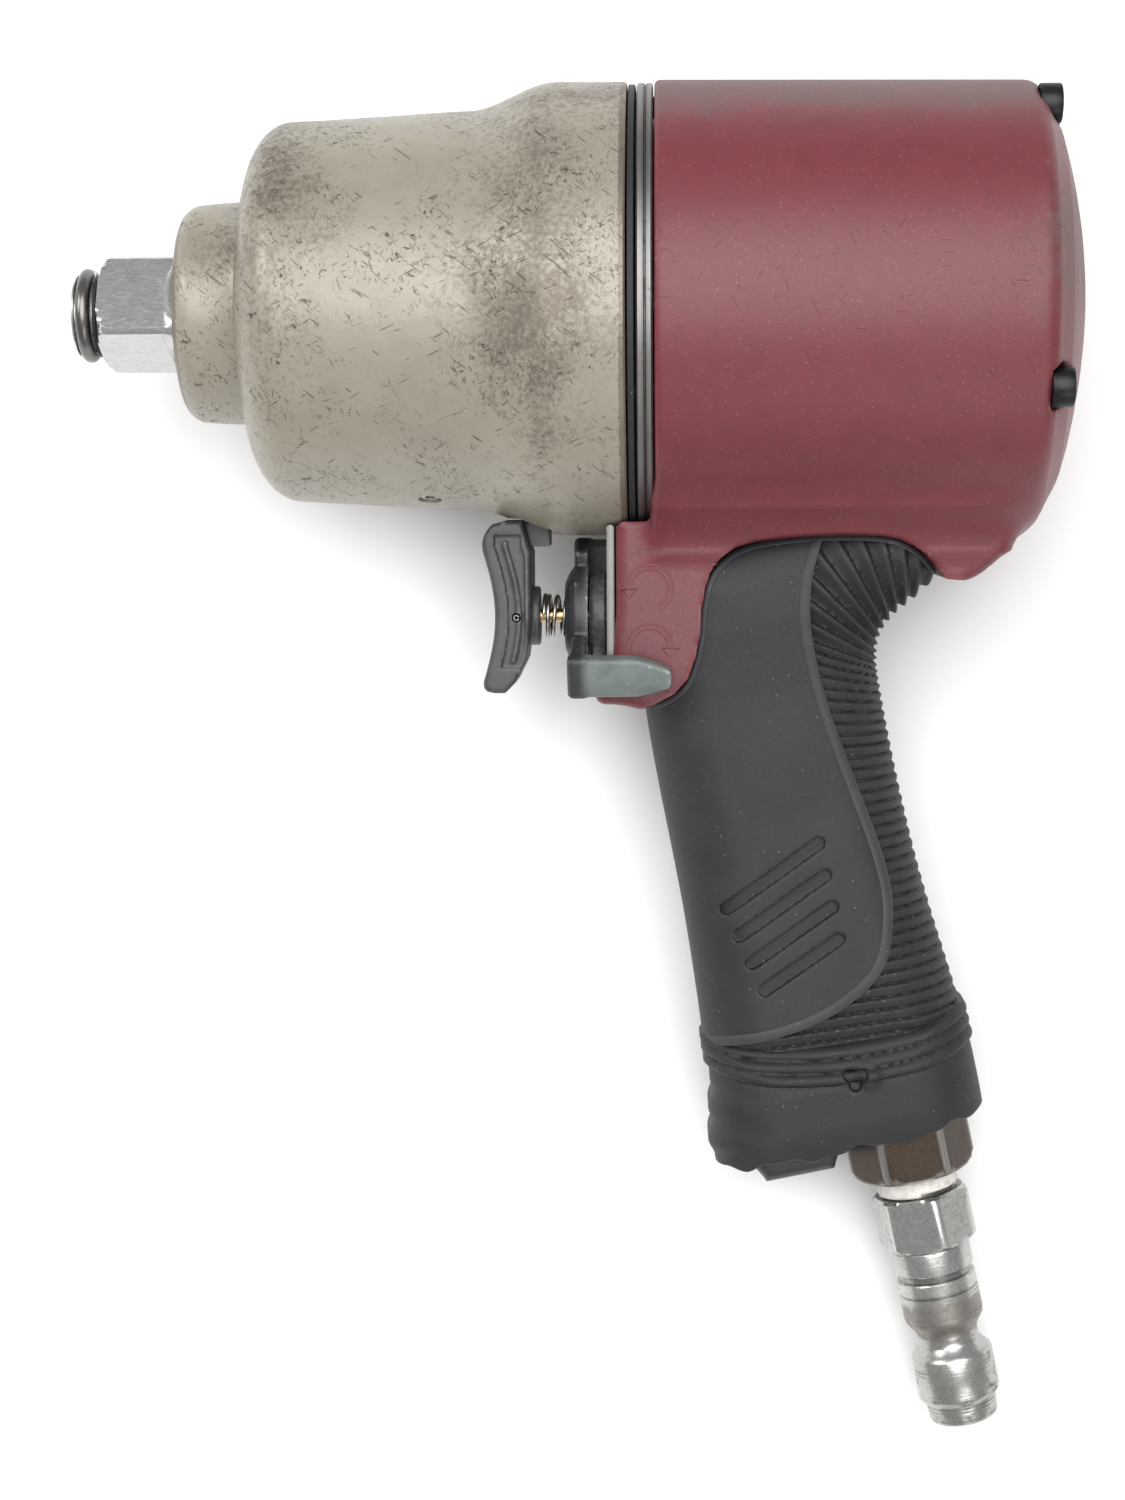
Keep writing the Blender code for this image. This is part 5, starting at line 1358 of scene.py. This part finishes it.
class WRENCH_OT_bolts(bpy.types.Operator):
    """Turn the four housing bolts with their hexagon sockets"""
    bl_idname = "wrench.bolts"
    bl_label = "Housing bolts"

    def execute(self, context):
        black = machined_steel("black_oxide", (0.022, 0.022, 0.024), 0.42, grime_amount=0.3, wear=0.04)
        for number, angle in enumerate(BOLT_ANGLES):
            centre = polar(BOLT_CIRCLE, angle)
            low, high = reach(f"housing_bolt_{number + 1}")
            crown, seat = high[0], high[0] - BOLT_HEAD
            rows = [(low[0], 0.3), (low[0], 1.9), (low[0] + 0.6, 2.3), (seat, 2.3), (seat, 4.0),
                    (seat + 0.3, 4.2),
                    (crown - 0.5, 4.2), (crown - 0.12, 4.05), (crown, 3.8), (crown, 2.6)]
            rings = [[(x, centre[0] + y, centre[1] + z) for y, z in
                      (polar(radius, 7.5 * step) for step in range(48))] for x, radius in rows]
            for x, flats in ((crown - 0.25, 4.1), (crown - 2.2, 4.0), (crown - 2.4, 1.2)):
                ring = []
                for step in range(48):
                    angle_here = 7.5 * step
                    away = (angle_here + 30) % 60 - 30
                    ring.append((x,
                                 *[c + p for c,
                                   p in zip(centre, polar(flats / 2 / math.cos(math.radians(away)),
                                                                           angle_here))]))
                rings.append(ring)
            place_piece(f"housing_bolt_{number + 1}_head", loft(f"bolt_{number + 1}", rings), black, "body",
                        (f"housing_bolt_{number + 1}",))
        return {"FINISHED"}


class WRENCH_OT_grip(bpy.types.Operator):
    """Mould the ribbed sleeve, the side panel and the trim round them"""
    bl_idname = "wrench.grip"
    bl_label = "Grip"

    def execute(self, context):
        cell = context.scene.wrench_sizes.grip_cell
        panel_low, panel_high = reach("grip_panel")
        low = np.minimum(panel_low, reach("grip_backstrap")[0]) - (2, 12, 2)
        high = np.maximum(panel_high, reach("grip_backstrap")[1]) + 2
        rubber = grip_rubber(plain_colours())
        strap = skinned("ribbed_sleeve", strap_distance, low, high, cell * 0.9, 50)
        place_piece("ribbed_sleeve", strap, rubber, "body", ("grip_backstrap",))
        panel = skinned("side_panel", panel_distance, low, high, cell, 45)
        place_piece("side_panel", panel, rubber, "body", ("grip_panel",))
        trim = []
        edge = PANEL_EDGE[1:]
        for side in (1, -1):
            trim.append(self.ribbon(softened(edge, 3, False), side, 1.1, 0.42))
            trim.append(self.ribbon(softened(GRIP_TOP[1:-1], 3, False) + DOWN * 0.95, side, 0.55, 0.3))
        place_piece("grip_trim", merged("grip_trim", trim, 50),
                    grip_rubber(plain_colours(), "trim_rubber", 1.9),
                    "body", ())
        return {"FINISHED"}

    @staticmethod
    def ribbon(path, side, half, proud):
        """A low rounded strip lying along a path on the flank."""
        lengths = np.concatenate(([0], np.cumsum(np.hypot(*np.diff(path, axis=0).T))))
        marks = np.linspace(0, lengths[-1], int(lengths[-1] / 0.7))
        path = np.stack([np.interp(marks, lengths, path[:, axis]) for axis in (0, 1)], 1)
        along = np.gradient(path, axis=0)
        along /= np.hypot(*along.T)[:, None]
        across = np.stack((-along[:, 1], along[:, 0]), 1)
        rings = []
        offsets = [(-1, -0.6), (-1, 0.35), (-0.72, 0.9), (0, 1.0), (0.72, 0.9), (1, 0.35), (1, -0.6)]
        heights = [flank_height(handle_distance, path + across * half * share) for share, _ in offsets]
        for number in range(len(path)):
            if min(height[number] for height in heights) < 3:
                continue
            ring = []
            for (share, lift), height in zip(offsets, heights):
                x, y = path[number] + across[number] * half * share
                ring.append((x, y, side * (height[number] + 0.25 + proud * lift)))
            rings.append(ring)
        return loft("ribbon", rings, sharp=60)


class WRENCH_OT_boot(bpy.types.Operator):
    """Mould the rubber boot and the exhaust deflector under it"""
    bl_idname = "wrench.boot"
    bl_label = "Boot and exhaust"

    def execute(self, context):
        cell = context.scene.wrench_sizes.grip_cell
        low, high = reach("handle_boot")
        boot = skinned("rubber_boot", boot_distance, low - (2, 2, 1), high + (2, 10, 1), cell, 50)
        place_piece("rubber_boot", boot, grip_rubber(plain_colours(), "boot_rubber", 0.85), "body",
                    ("handle_boot",))

        def deflector_distance(points):
            s, e = handle_places(points)
            shrink = step_between(118, 127, s) * 3.2
            side = np.maximum(np.abs(e + 22.2) - 10.6 + shrink, np.abs(s - 121) - 4.6)
            shape = meet(side, np.abs(points[:, 2]) - 13.2 + shrink * 0.7, 2.4)
            hollow = meet(np.abs(e + 22.2) - 6.0 + shrink * 0.4, np.abs(points[:, 2]) - 8.6 + shrink * 0.5,
                          2.0)
            shape = carve(shape, hollow, 0.4)
            for bar in (-5.4, 0, 5.4):
                rib = meet(np.abs(points[:, 2] - bar) - 0.7,
                           np.maximum(np.abs(e + 22.2) - 7, np.abs(s - 121) - 3.4))
                shape = np.minimum(shape, rib)
            return shape

        low, high = reach("exhaust_deflector")
        deflector = skinned("exhaust_vent", deflector_distance, low - 2, high + 2, cell, 45)
        black = scuffed_plastic("vent_plastic", (0.02, 0.02, 0.022), (0.12, 0.12, 0.12))
        place_piece("exhaust_vent", deflector, black, "body", ("exhaust_deflector",))
        return {"FINISHED"}


class WRENCH_OT_inlet(bpy.types.Operator):
    """Make the inlet bushing, the plug in its tape and their worn plating"""
    bl_idname = "wrench.inlet"
    bl_label = "Air inlet and plug"

    def execute(self, context):
        colour = plain_colours()
        seat, length, flats = 116.3, 15.6, 24.0
        end = seat + length

        def hexagon_rings(flats_here, turn, rows, count=144):
            """Rings of a hexagon whose corners are turned down to each row's radius."""
            rings = []
            for x, limit in rows:
                ring = []
                for step in range(count):
                    angle = 360 * step / count
                    away = (angle - turn + 30) % 60 - 30
                    reach_out = min(flats_here / 2 / math.cos(math.radians(away)), limit)
                    ring.append((x, *polar(reach_out, angle)))
                rings.append(ring)
            return rings

        def round_rings(rows):
            """Flats this far out leave the rings round."""
            return hexagon_rings(99, 90.0, rows)

        bore_start, thread_r = seat - 11.7, 8.85
        corners = profile(seat, 0, (0, 12.6), (0.5, 13.3), (1.2, 13.7))
        corners += profile(end, 0, (-2.4, 13.75), (-1.0, 13.0), (-0.25, 12.2), (0, 11.6))
        hex_rings = round_rings([(bore_start, 9.9), (seat - 0.02, 9.9)])
        hex_rings += hexagon_rings(flats, 120.0, corners)
        hex_rings += round_rings([(end, 9.6), (end - 0.9, 9.0), (end - 1.4, thread_r),
                                  (bore_start, thread_r)])
        bushing = loft("inlet_hexagon", hex_rings, closed=True, sharp=26)
        bushing.transform(INLET)
        brown = machined_steel("brown_inlet_steel", colour.inlet, 0.42, (0.025, 0.018, 0.014), 0.6, size=0.8,
                               wear=0.9)
        place_piece("inlet_hexagon", bushing, brown, "body", ("inlet_bushing",))

        hex_start, hex_length, plug_hex = end + 4.4, 12.0, 19.05
        hex_stop = hex_start + hex_length
        tip, bore = end + 57.0, 4.6
        body_r, neck_r, head_r = 8.75, 6.7, 9.0
        neck = tip - 20
        thread = [(seat + 4.2, bore), (seat + 4.2, 7.6), (end - 1, 8.1)]
        for number in range(7):
            x = end - 0.5 + 0.78 * number
            thread += [(x, 8.45), (x + 0.39, 7.95)]
        corners = profile(hex_start, 0, (0, 9.7), (0.5, 10.5), (1.1, 10.95))
        corners += profile(hex_stop, 0, (-1.2, 10.95), (-0.6, 10.4), (0, 9.5))
        rings = round_rings(thread + [(hex_start - 0.02, 8.2)]) + hexagon_rings(plug_hex, 104.0, corners)
        # The collar with its two grooves, the neck that the coupler's balls run in, then the head
        rows = [(hex_stop + 0.02, body_r - 0.5)]
        rows += profile(hex_stop, body_r, (0.6, -0.1), (1.0, 0), (5.6, 0), (5.9, -0.25), (6.2, -0.75),
                        (7.2, -0.75), (7.5, -0.2), (7.8, 0), (10.2, 0), (10.4, -0.3), (10.7, -0.3),
                        (10.9, 0))
        rows += profile(neck, body_r, (-4.4, 0.05), (-3.6, -0.1), (-2.6, -0.7))
        rows += profile(neck, neck_r, (-1.2, 0.35), (-0.3, 0), (1.8, 0), (2.6, 0.3))
        rows += profile(neck, head_r, (3.8, -0.8), (4.5, -0.2), (5.0, 0))
        rows += profile(tip, head_r, (-6.4, 0), (-5.8, -0.2), (-5.0, -0.8), (-4.5, -1.2), (-1.2, -1.45),
                        (-0.4, -1.8), (0, -2.4))
        rings += round_rings(rows + [(tip, bore + 0.5), (tip - 0.5, bore)])
        plug = loft("plated_air_plug", rings, closed=True, sharp=26)
        plug.transform(INLET)
        zinc = self.plug_finish(colour, neck)
        place_piece("plated_air_plug", plug, zinc, "body", ("air_plug",))

        tape_rings = []
        start, stop, winds = end - 0.6, hex_start - 0.4, 5
        for step in range(winds * 72 + 1):
            share = step / (winds * 72)
            angle = 5.0 * step
            x = start + (stop - start - 1.2) * share
            rough = 0.14 * math.sin(angle * 0.21) + 0.1 * math.sin(angle * 0.053 + 1)
            radius = 8.45 + 0.12 * rough
            tape_rings.append([(x + side, *polar(radius + lift, angle)) for side, lift in
                               ((-0.15, 0.0), (-0.05, 0.32 + rough * 0.5), (0.6, 0.42 + rough),
                                (1.2, 0.3 - rough * 0.5),
                                (1.35, 0.0), (0.6, 0.05))])
        tape = loft("thread_tape", tape_rings, sharp=70)
        tape.transform(INLET)
        place_piece("thread_tape", tape, thread_tape(), "body", ())
        return {"FINISHED"}

    @staticmethod
    def plug_finish(colour, neck):
        """Bright plating worn to dark steel where the coupler's balls run."""
        finish = Finish("worn_zinc_plate", roughness=0.26, metallic=1.0)
        x, y, _ = finish.axes()
        down = (x - float(HANDLE_AT[0])) * float(DOWN[0]) + (y - float(HANDLE_AT[1])) * float(DOWN[1])
        cloudy = finish.noise(4, 5, 0.65, distortion=0.5)
        ringed = Level(finish, finish.node("ShaderNodeTexNoise", {"noise_dimensions": "1D"},
                                           {"W": down * 2.4, "Scale": 1.0, "Detail": 3.0}).outputs["Fac"])
        band = down.above(neck - 10, neck - 7) * down.below(neck - 1, neck + 2)
        head = down.above(neck + 5, neck + 7) * 0.5
        worn = ((band | head) + (cloudy - 0.5) * 1.5 + (ringed - 0.5) * 1.1).above(0.3, 0.95)
        stains = (cloudy + ringed * 0.5).above(0.78, 1.0)
        edges = finish.ridges().above(0.52, 0.6)
        hollow = finish.ridges().below(0.42, 0.49)
        tone = finish.mix(finish.noise(0.7, 3).above(0.3, 0.7), shade(colour.zinc, 0.88),
                          shade(colour.zinc, 1.12))
        tone = finish.mix(worn * 0.6, tone, (0.14, 0.115, 0.09))
        tone = finish.mix((stains | hollow) * 0.55, tone, (0.06, 0.05, 0.04))
        tone = finish.mix(edges * 0.5, tone, (0.8, 0.8, 0.78))
        rough = 0.2 + worn * 0.2 + cloudy * 0.14 + stains * 0.15
        return finish.paint(tone, rough, 1.0 - stains * 0.3, ringed * 0.7 + cloudy * 0.3, 0.02)


class WRENCH_OT_trigger(bpy.types.Operator):
    """Mould the trigger and fit its rod, pin and spring"""
    bl_idname = "wrench.trigger"
    bl_label = "Trigger, rod and spring"

    def execute(self, context):
        colour = plain_colours()
        cell = context.scene.wrench_sizes.small_cell
        mesh = skinned("curved_trigger", trigger_distance, TRIGGER_LOW - 1, TRIGGER_HIGH + 1, cell, 50)
        plastic = scuffed_plastic("trigger_plastic", colour.plastic, (0.2, 0.2, 0.2), 0.6)
        place_piece("curved_trigger", mesh, plastic, "trigger_body", ("trigger",))

        rod_low, rod_high = reach("trigger_rod")
        radius = 1.55
        rod = spun("brass_trigger_rod",
                   [(rod_low[0], 0), (rod_low[0], radius - 0.2), (rod_low[0] + 0.2, radius),
                                         (rod_high[0] - 0.6, radius), (rod_high[0], radius - 0.6),
                                         (rod_high[0], 0)],
                   40, (ROD_LEVEL, 0))
        brass = machined_steel("rod_brass", (0.55, 0.36, 0.13), 0.26, (0.08, 0.05, 0.02), 0.35,
                               stretch=(0.3, 2, 2), wear=0.2)
        place_piece("brass_trigger_rod", rod, brass, "trigger_body", ("trigger_rod",))

        pin_low, pin_high = reach("trigger_roll_pin")
        centre = (pin_low + pin_high) / 2
        pin = []
        for z in np.linspace(pin_low[2], pin_high[2], 9):
            outer = arc((centre[0], centre[1]), 0.62, 20, 340, 20)
            inner = arc((centre[0], centre[1]), 0.36, 340, 20, 20)
            pin.append([(x, y, z) for x, y in outer + inner])
        roll_pin = loft("slotted_roll_pin", pin, sharp=40)
        place_piece("slotted_roll_pin", roll_pin, machined_steel("pin_steel", (0.05, 0.05, 0.05), 0.45),
                    "trigger_body", ("trigger_roll_pin",))

        spring_low, spring_high = reach("trigger_spring")
        wire = 0.42
        path = []
        turns, steps = 5.6, 260
        for step in range(steps + 1):
            share = step / steps
            wound = share * turns
            tight = min(wound, 1.6) * 1.05 * wire * 2
            loose = max(0.0, min(wound, turns - 0.9) - 1.6) / (turns - 2.5)
            closed = max(0.0, wound - (turns - 0.9)) * wire * 1.6
            length = spring_high[0] - spring_low[0] - 2 * wire
            open_length = length - 1.6 * 2.1 * wire - 0.9 * 1.6 * wire
            x = spring_low[0] + wire + tight + loose * open_length + closed
            y, z = polar(4.55 - 0.35 * math.sin(share * math.pi), 360 * wound)
            path.append((x, ROD_LEVEL + y, z))
        spring = tube("trigger_return_spring", path, wire, 10)
        piece = place_piece("trigger_return_spring", spring,
                            machined_steel("spring_wire", (0.36, 0.34, 0.32), 0.3, stretch=(2, 2, 2)),
                            "body",
                            ("trigger_spring",))
        travel = JOINTS["trigger_pull"]["range_m"][1]
        free_length = (spring_high[0] - spring_low[0]) * MM
        anchor = TOOL @ (Vector((spring_high[0], ROD_LEVEL, 0)) * MM)
        TOOL.to_3x3() @ Vector((1, 0, 0))
        1 - travel / free_length
        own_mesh(piece)
        return {"FINISHED"}


def trigger_outline():
    """Side of the trigger: a hollow front for the finger, a flat back and a pointed foot."""
    top, foot, back = TRIGGER_HIGH[1], TRIGGER_LOW[1], TRIGGER_LOW[0] + TRIGGER_DEPTH
    front = [(TRIGGER_LOW[0] + 2.9, top), (TRIGGER_LOW[0] + 0.6, top - 3)]
    for step in range(9):
        share = step / 8
        front.append((TRIGGER_LOW[0] + 0.1 + 2.9 * math.sin(math.pi * share),
                      top - 5.5 + (foot + 5.0 - top + 2.0) * share))
    return front + [(TRIGGER_LOW[0] + 1.5, foot), (TRIGGER_LOW[0] + 6.2, foot), (back, foot + 9.4),
                    (back, top)]


TRIGGER_SIDE = trigger_outline()
TRIGGER_BACK = TRIGGER_LOW[0] + TRIGGER_DEPTH
TRIGGER = Outline(softened(TRIGGER_SIDE, 1), 0.15, 8)
TRIGGER_BOSS = Outline([(TRIGGER_BACK - 2, -1), (TRIGGER_BACK - 2, 6.4), (TRIGGER_BACK + 1.3, 6.4),
                        (TRIGGER_BACK + 1.6, 6.0), (TRIGGER_BACK + 1.6, -1)], 0.15, 8)
ROD_BORE = Outline([(TRIGGER_BACK - 6, -1), (TRIGGER_BACK - 6, 1.85), (TRIGGER_BACK + 9, 1.85),
                    (TRIGGER_BACK + 9, -1)], 0.15, 8)


def trigger_distance(points):
    """Rounded blade with a raised curved rib on each side, a boss for the spring and a guide lug."""
    half = 10.0
    blade = slab_distance(points, TRIGGER, -half, half, 1.1)
    z = np.abs(points[:, 2])
    hollow = TRIGGER_SIDE[10:1:-1]
    front = np.interp(points[:, 1], [y for _, y in hollow], [x for x, _ in hollow])
    back = TRIGGER_BACK
    behind = points[:, 0] - front
    sunk = np.maximum(np.abs(behind - 5.8) - 2.9, np.maximum(-points[:, 1] + TRIGGER_LOW[1] + 5.5,
                                                             points[:, 1] - TRIGGER_HIGH[1] + 3))
    sunk = np.maximum(sunk, points[:, 0] - back + 1.3)
    blade = carve(blade, np.maximum(sunk, half - 0.55 - z), 0.3)
    rib = meet(np.abs(behind - 5.2) - 0.55, np.maximum(-points[:, 1] + TRIGGER_LOW[1] + 6.5,
                                                       points[:, 1] - TRIGGER_HIGH[1] + 4.2), 0.3)
    blade = np.minimum(blade, meet(rib, z - half + 0.1, 0.3))
    shape = melt(blade, TRIGGER_BOSS.spun(points, (ROD_LEVEL, 0)), 0.5)
    top = TRIGGER_HIGH[1]
    lug = meet(np.maximum(back - 2 - points[:, 0], points[:, 0] - back - 4.0),
               np.maximum(z - 3.0, np.abs(points[:, 1] - top + 3.0) - 2.6), 0.5)
    shape = melt(shape, lug, 0.5)
    ball = np.sqrt((points[:, 0] - back - 2.6) ** 2 + (points[:, 1] - top + 0.9) ** 2 + points[:,
            2] ** 2) - 1.0
    shape = np.minimum(shape, ball)
    shape = carve(shape, ROD_BORE.spun(points, (ROD_LEVEL, 0)), 0.15)
    pin_low, pin_high = reach("trigger_roll_pin")
    away = np.hypot(points[:, 0] - (pin_low[0] + pin_high[0]) / 2,
                    points[:, 1] - (pin_low[1] + pin_high[1]) / 2)
    return carve(shape, away - 0.95, 0.15)


TAB_MIDDLES = (-25.6, 154.4)
KNOB_REAR = KNOB_FRONT + 5.1
KNOB = Outline([(KNOB_FRONT + 1.4, 5.6), (KNOB_FRONT + 0.2, 6.2), (KNOB_FRONT, 6.9), (KNOB_FRONT + 0.5, 8.4),
                (KNOB_FRONT + 1.3, 9.8), (KNOB_FRONT + 2.4, 10.9), (KNOB_REAR, 11), (KNOB_REAR, 1.9),
                (KNOB_FRONT + 4.8, 1.9), (KNOB_FRONT + 4.8, 5.6)], 0.15, 8)


def lever_distance(points):
    """Knob with its lobe, two arms and two finger tabs."""
    shifted = points - (0, ROD_LEVEL, 0)
    rear = KNOB_REAR
    knob = KNOB.spun(shifted)
    radius = np.hypot(shifted[:, 1], shifted[:, 2])
    angle = np.degrees(np.arctan2(shifted[:, 1], shifted[:, 2]))
    lobe = meet(np.maximum(radius - 14.3, 7 - radius), np.radians(np.abs(angle - 90) - 15) * radius, 0.9)
    lobe = meet(lobe, np.maximum(KNOB_FRONT + 2.4 - points[:, 0], points[:, 0] - rear + 0.1), 0.6)
    shape = melt(knob, lobe, 0.9)
    for middle in TAB_MIDDLES:
        away = (angle - middle + 180) % 360 - 180
        spread = np.radians(np.abs(away) - 9.3) * radius
        arm = meet(np.maximum(radius - 28.6, 6.2 - radius), spread + 0.35 * step_between(26, 12, radius) * 2,
                   0.8)
        arm = meet(arm, np.maximum(KNOB_FRONT + 1.8 - points[:, 0], points[:, 0] - rear + 0.2), 0.7)
        taper = 0.16 * np.maximum(points[:, 0] + 2, 0) ** 1.35
        bow = 0.35 * np.cos(np.radians(away) * 9)
        tab = meet(np.maximum(radius - 28.9 - bow + 0.35, 24.7 - radius + taper * 0.5), spread + taper, 0.9)
        tab = meet(tab, np.maximum(KNOB_FRONT + 1.4 - points[:, 0], points[:, 0] - TAB_END), 0.9)
        shape = melt(shape, melt(arm, tab, 1.4), 0.9)
    return shape


class WRENCH_OT_reverse_lever(bpy.types.Operator):
    """Cast the reverse knob with its two chipped finger tabs"""
    bl_idname = "wrench.reverse_lever"
    bl_label = "Reverse lever"

    def execute(self, context):
        cell = context.scene.wrench_sizes.small_cell
        low, high = reach("reverse_lever")
        mesh = skinned("reverse_lever_casting", lever_distance, low - 1, high + 1, cell, 50)
        place_piece("reverse_lever_casting", mesh, chipped_paint(plain_colours()), "reverse_body",
                    ("reverse_lever",))
        return {"FINISHED"}


class WRENCH_OT_valve_parts(bpy.types.Operator):
    """Model the valve bushing and the thin plate behind it"""
    bl_idname = "wrench.valve_parts"
    bl_label = "Valve bushing and plate"

    def execute(self, context):
        front, rear = BUSHING_LOW[0], BUSHING_HIGH[0]
        flange = VALVE_PLATE_LOW[0] - 0.3
        outline = [(front, 5.0), (front, 8.8), (front + 0.5, 9.4), (front + 1.0, 9.6), (flange - 0.5, 9.6),
                   (flange, 9.2), (flange, 8.0), (rear - 0.5, 8.0), (rear, 7.5), (rear, 1.9),
                   (rear - 2, 1.9),
                   (rear - 2, 5.0)]
        bushing = spun("threaded_valve_bushing", outline, 72, (ROD_LEVEL, 0))
        black = scuffed_plastic("bushing_plastic", (0.022, 0.022, 0.024), (0.16, 0.16, 0.16))
        place_piece("threaded_valve_bushing", bushing, black, "body", ("valve_bushing",))

        def plate_distance(points):
            low, high = VALVE_PLATE_LOW, VALVE_PLATE_HIGH
            middle = (low[0] + high[0]) / 2
            thick = np.abs(points[:, 0] - middle) - (high[0] - low[0]) / 2
            flat = np.maximum(np.abs(points[:, 2]) - high[2], low[1] - points[:, 1])
            flat = np.maximum(flat, points[:, 1] + 30)
            flat = meet(flat, low[1] + 3 - points[:, 1] - (high[2] - np.abs(points[:, 2])), 1.0)
            shape = meet(thick, flat, 0.25)
            shape = np.maximum(shape, HOUSING_R + 0.3 - np.hypot(points[:, 1], points[:, 2]))
            hole = np.hypot(points[:, 1] - ROD_LEVEL, points[:, 2]) - SHANK_ROOM_R
            return np.maximum(shape, -hole)

        cell = context.scene.wrench_sizes.small_cell
        plate = skinned("valve_cover_plate", plate_distance, VALVE_PLATE_LOW - 1, VALVE_PLATE_HIGH + 1, cell,
                        40)
        place_piece("valve_cover_plate", plate,
                    machined_steel("plate_zinc", (0.2, 0.2, 0.19), 0.5, grime_amount=0.8), "body",
                    ("valve_plate",))
        return {"FINISHED"}


class WRENCH_OT_inner_works(bpy.types.Operator):
    """Give every CAD piece inside the tool a finish of its own kind"""
    bl_idname = "wrench.inner_works"
    bl_label = "Finishes of the inner works"

    def execute(self, context):
        ground, turned, cast, oiled = (3, 3, 0.4), (0.3, 3, 3), (1, 1, 1), (2, 0.5, 2)
        finishes = {
            "nose_bushing": inner_finish("sintered_bronze", (0.40, 0.25, 0.10), 0.5, 0.9, 0.6, cast, 0.25,
                                         0.03),
            "thrust_washer": inner_finish("ground_washer", (0.42, 0.41, 0.40), 0.3, 1.0, 0.5, ground),
            "hammer_cage": inner_finish("phosphated_cage", (0.10, 0.095, 0.09), 0.5, 0.9, 0.9, cast, 0.22,
                                        0.04),
            "hammer_front": inner_finish("front_hammer_steel", (0.30, 0.29, 0.28), 0.36, 1.0, 0.8, cast, 0.2,
                                         0.03),
            "hammer_rear": inner_finish("rear_hammer_steel", (0.28, 0.27, 0.26), 0.38, 1.0, 0.8, cast, 0.2,
                                        0.03),
            "hammer_pin_1": inner_finish("ground_pin", (0.52, 0.51, 0.50), 0.22, 1.0, 0.3, turned, 0.1),
            "cylinder_liner": inner_finish("honed_liner", (0.16, 0.15, 0.145), 0.38, 1.0, 0.5, oiled),
            "rotor": inner_finish("rotor_steel", (0.36, 0.355, 0.35), 0.3, 1.0, 0.6, turned),
            "vane_1": inner_finish("phenolic_vane", (0.22, 0.10, 0.04), 0.6, 0.0, 0.5, (0.3, 2, 2), 0.3,
                                   0.03),
            "rear_end_plate": inner_finish("cast_end_plate", (0.46, 0.46, 0.45), 0.42, 1.0, 0.9, cast, 0.12),
            "motor_dowel": inner_finish("dowel_steel", (0.45, 0.44, 0.43), 0.28, 1.0, 0.4, turned),
            "inlet_screen": inner_finish("bronze_screen", (0.42, 0.27, 0.12), 0.55, 0.9, 0.4, cast, 0.3,
                                         0.05),
            "exhaust_muffler": inner_finish("felt_muffler", (0.26, 0.24, 0.20), 0.95, 0.0, 0.5, (1, 4, 1),
                                            0.35, 0.2),
            "reverse_valve": inner_finish("valve_brass", (0.55, 0.37, 0.14), 0.3, 1.0, 0.5, turned),
            "throttle_seat": inner_finish("seat_rubber", (0.03, 0.03, 0.032), 0.7, 0.0, 0.4, cast, 0.2),
            "throttle_valve": inner_finish("throttle_brass", (0.56, 0.38, 0.15), 0.28, 1.0, 0.5, turned),
            "throttle_spring": inner_finish("spring_steel", (0.4, 0.39, 0.38), 0.3, 1.0, 0.3, cast),
        }
        races = inner_finish("bearing_race_steel", (0.55, 0.55, 0.54), 0.2, 1.0, 0.3, turned, 0.1)
        balls = inner_finish("bearing_ball_steel", (0.5, 0.49, 0.48), 0.16, 1.0, 0.8, cast, 0.1, 0.01)
        finishes["hammer_pin_2"] = finishes["hammer_pin_1"]
        for number in range(2, 7):
            finishes[f"vane_{number}"] = finishes["vane_1"]
        for end in ("front", "rear"):
            finishes[f"{end}_bearing_inner_race"] = races
            finishes[f"{end}_bearing_outer_race"] = races
            finishes[f"{end}_bearing_balls"] = balls
        left = [name for name,
                node in frame["nodes"].items() if not node.hide_render and name not in finishes]
        if left:
            raise RuntimeError(f"no finish for {left}")
        for name, material in finishes.items():
            node = frame["nodes"][name]
            for spot in node.material_slots:
                spot.material = material
        return {"FINISHED"}


class WRENCH_PT_panel(bpy.types.Panel):
    """Lists the steps that make the wrench"""
    bl_label = "Impact Wrench"
    bl_idname = "WRENCH_PT_panel"
    bl_space_type = "VIEW_3D"
    bl_region_type = "UI"
    bl_category = "Wrench"

    def draw(self, context):
        for operator in OPERATORS:
            self.layout.operator(operator.bl_idname)
        for group in (context.scene.wrench_sizes, context.scene.wrench_colours):
            box = self.layout.box()
            for name in type(group).__annotations__:
                box.prop(group, name)


OPERATORS = (WRENCH_OT_stage, WRENCH_OT_hammer_case, WRENCH_OT_flange, WRENCH_OT_anvil, WRENCH_OT_housing,
             WRENCH_OT_bolts, WRENCH_OT_grip, WRENCH_OT_boot, WRENCH_OT_inlet, WRENCH_OT_trigger,
             WRENCH_OT_reverse_lever, WRENCH_OT_valve_parts, WRENCH_OT_inner_works)
CLASSES = (WrenchColours, WrenchSizes) + OPERATORS + (WRENCH_PT_panel,)


def register():
    for item in CLASSES:
        bpy.utils.register_class(item)
    bpy.types.Scene.wrench_colours = PointerProperty(type=WrenchColours)
    bpy.types.Scene.wrench_sizes = PointerProperty(type=WrenchSizes)


def unregister():
    del bpy.types.Scene.wrench_sizes
    del bpy.types.Scene.wrench_colours
    for item in reversed(CLASSES):
        bpy.utils.unregister_class(item)


def main():
    """Make every piece in order."""
    register()
    for operator in OPERATORS:
        group, name = operator.bl_idname.split(".")
        getattr(getattr(bpy.ops, group), name)()


if __name__ == "__main__":
    main()
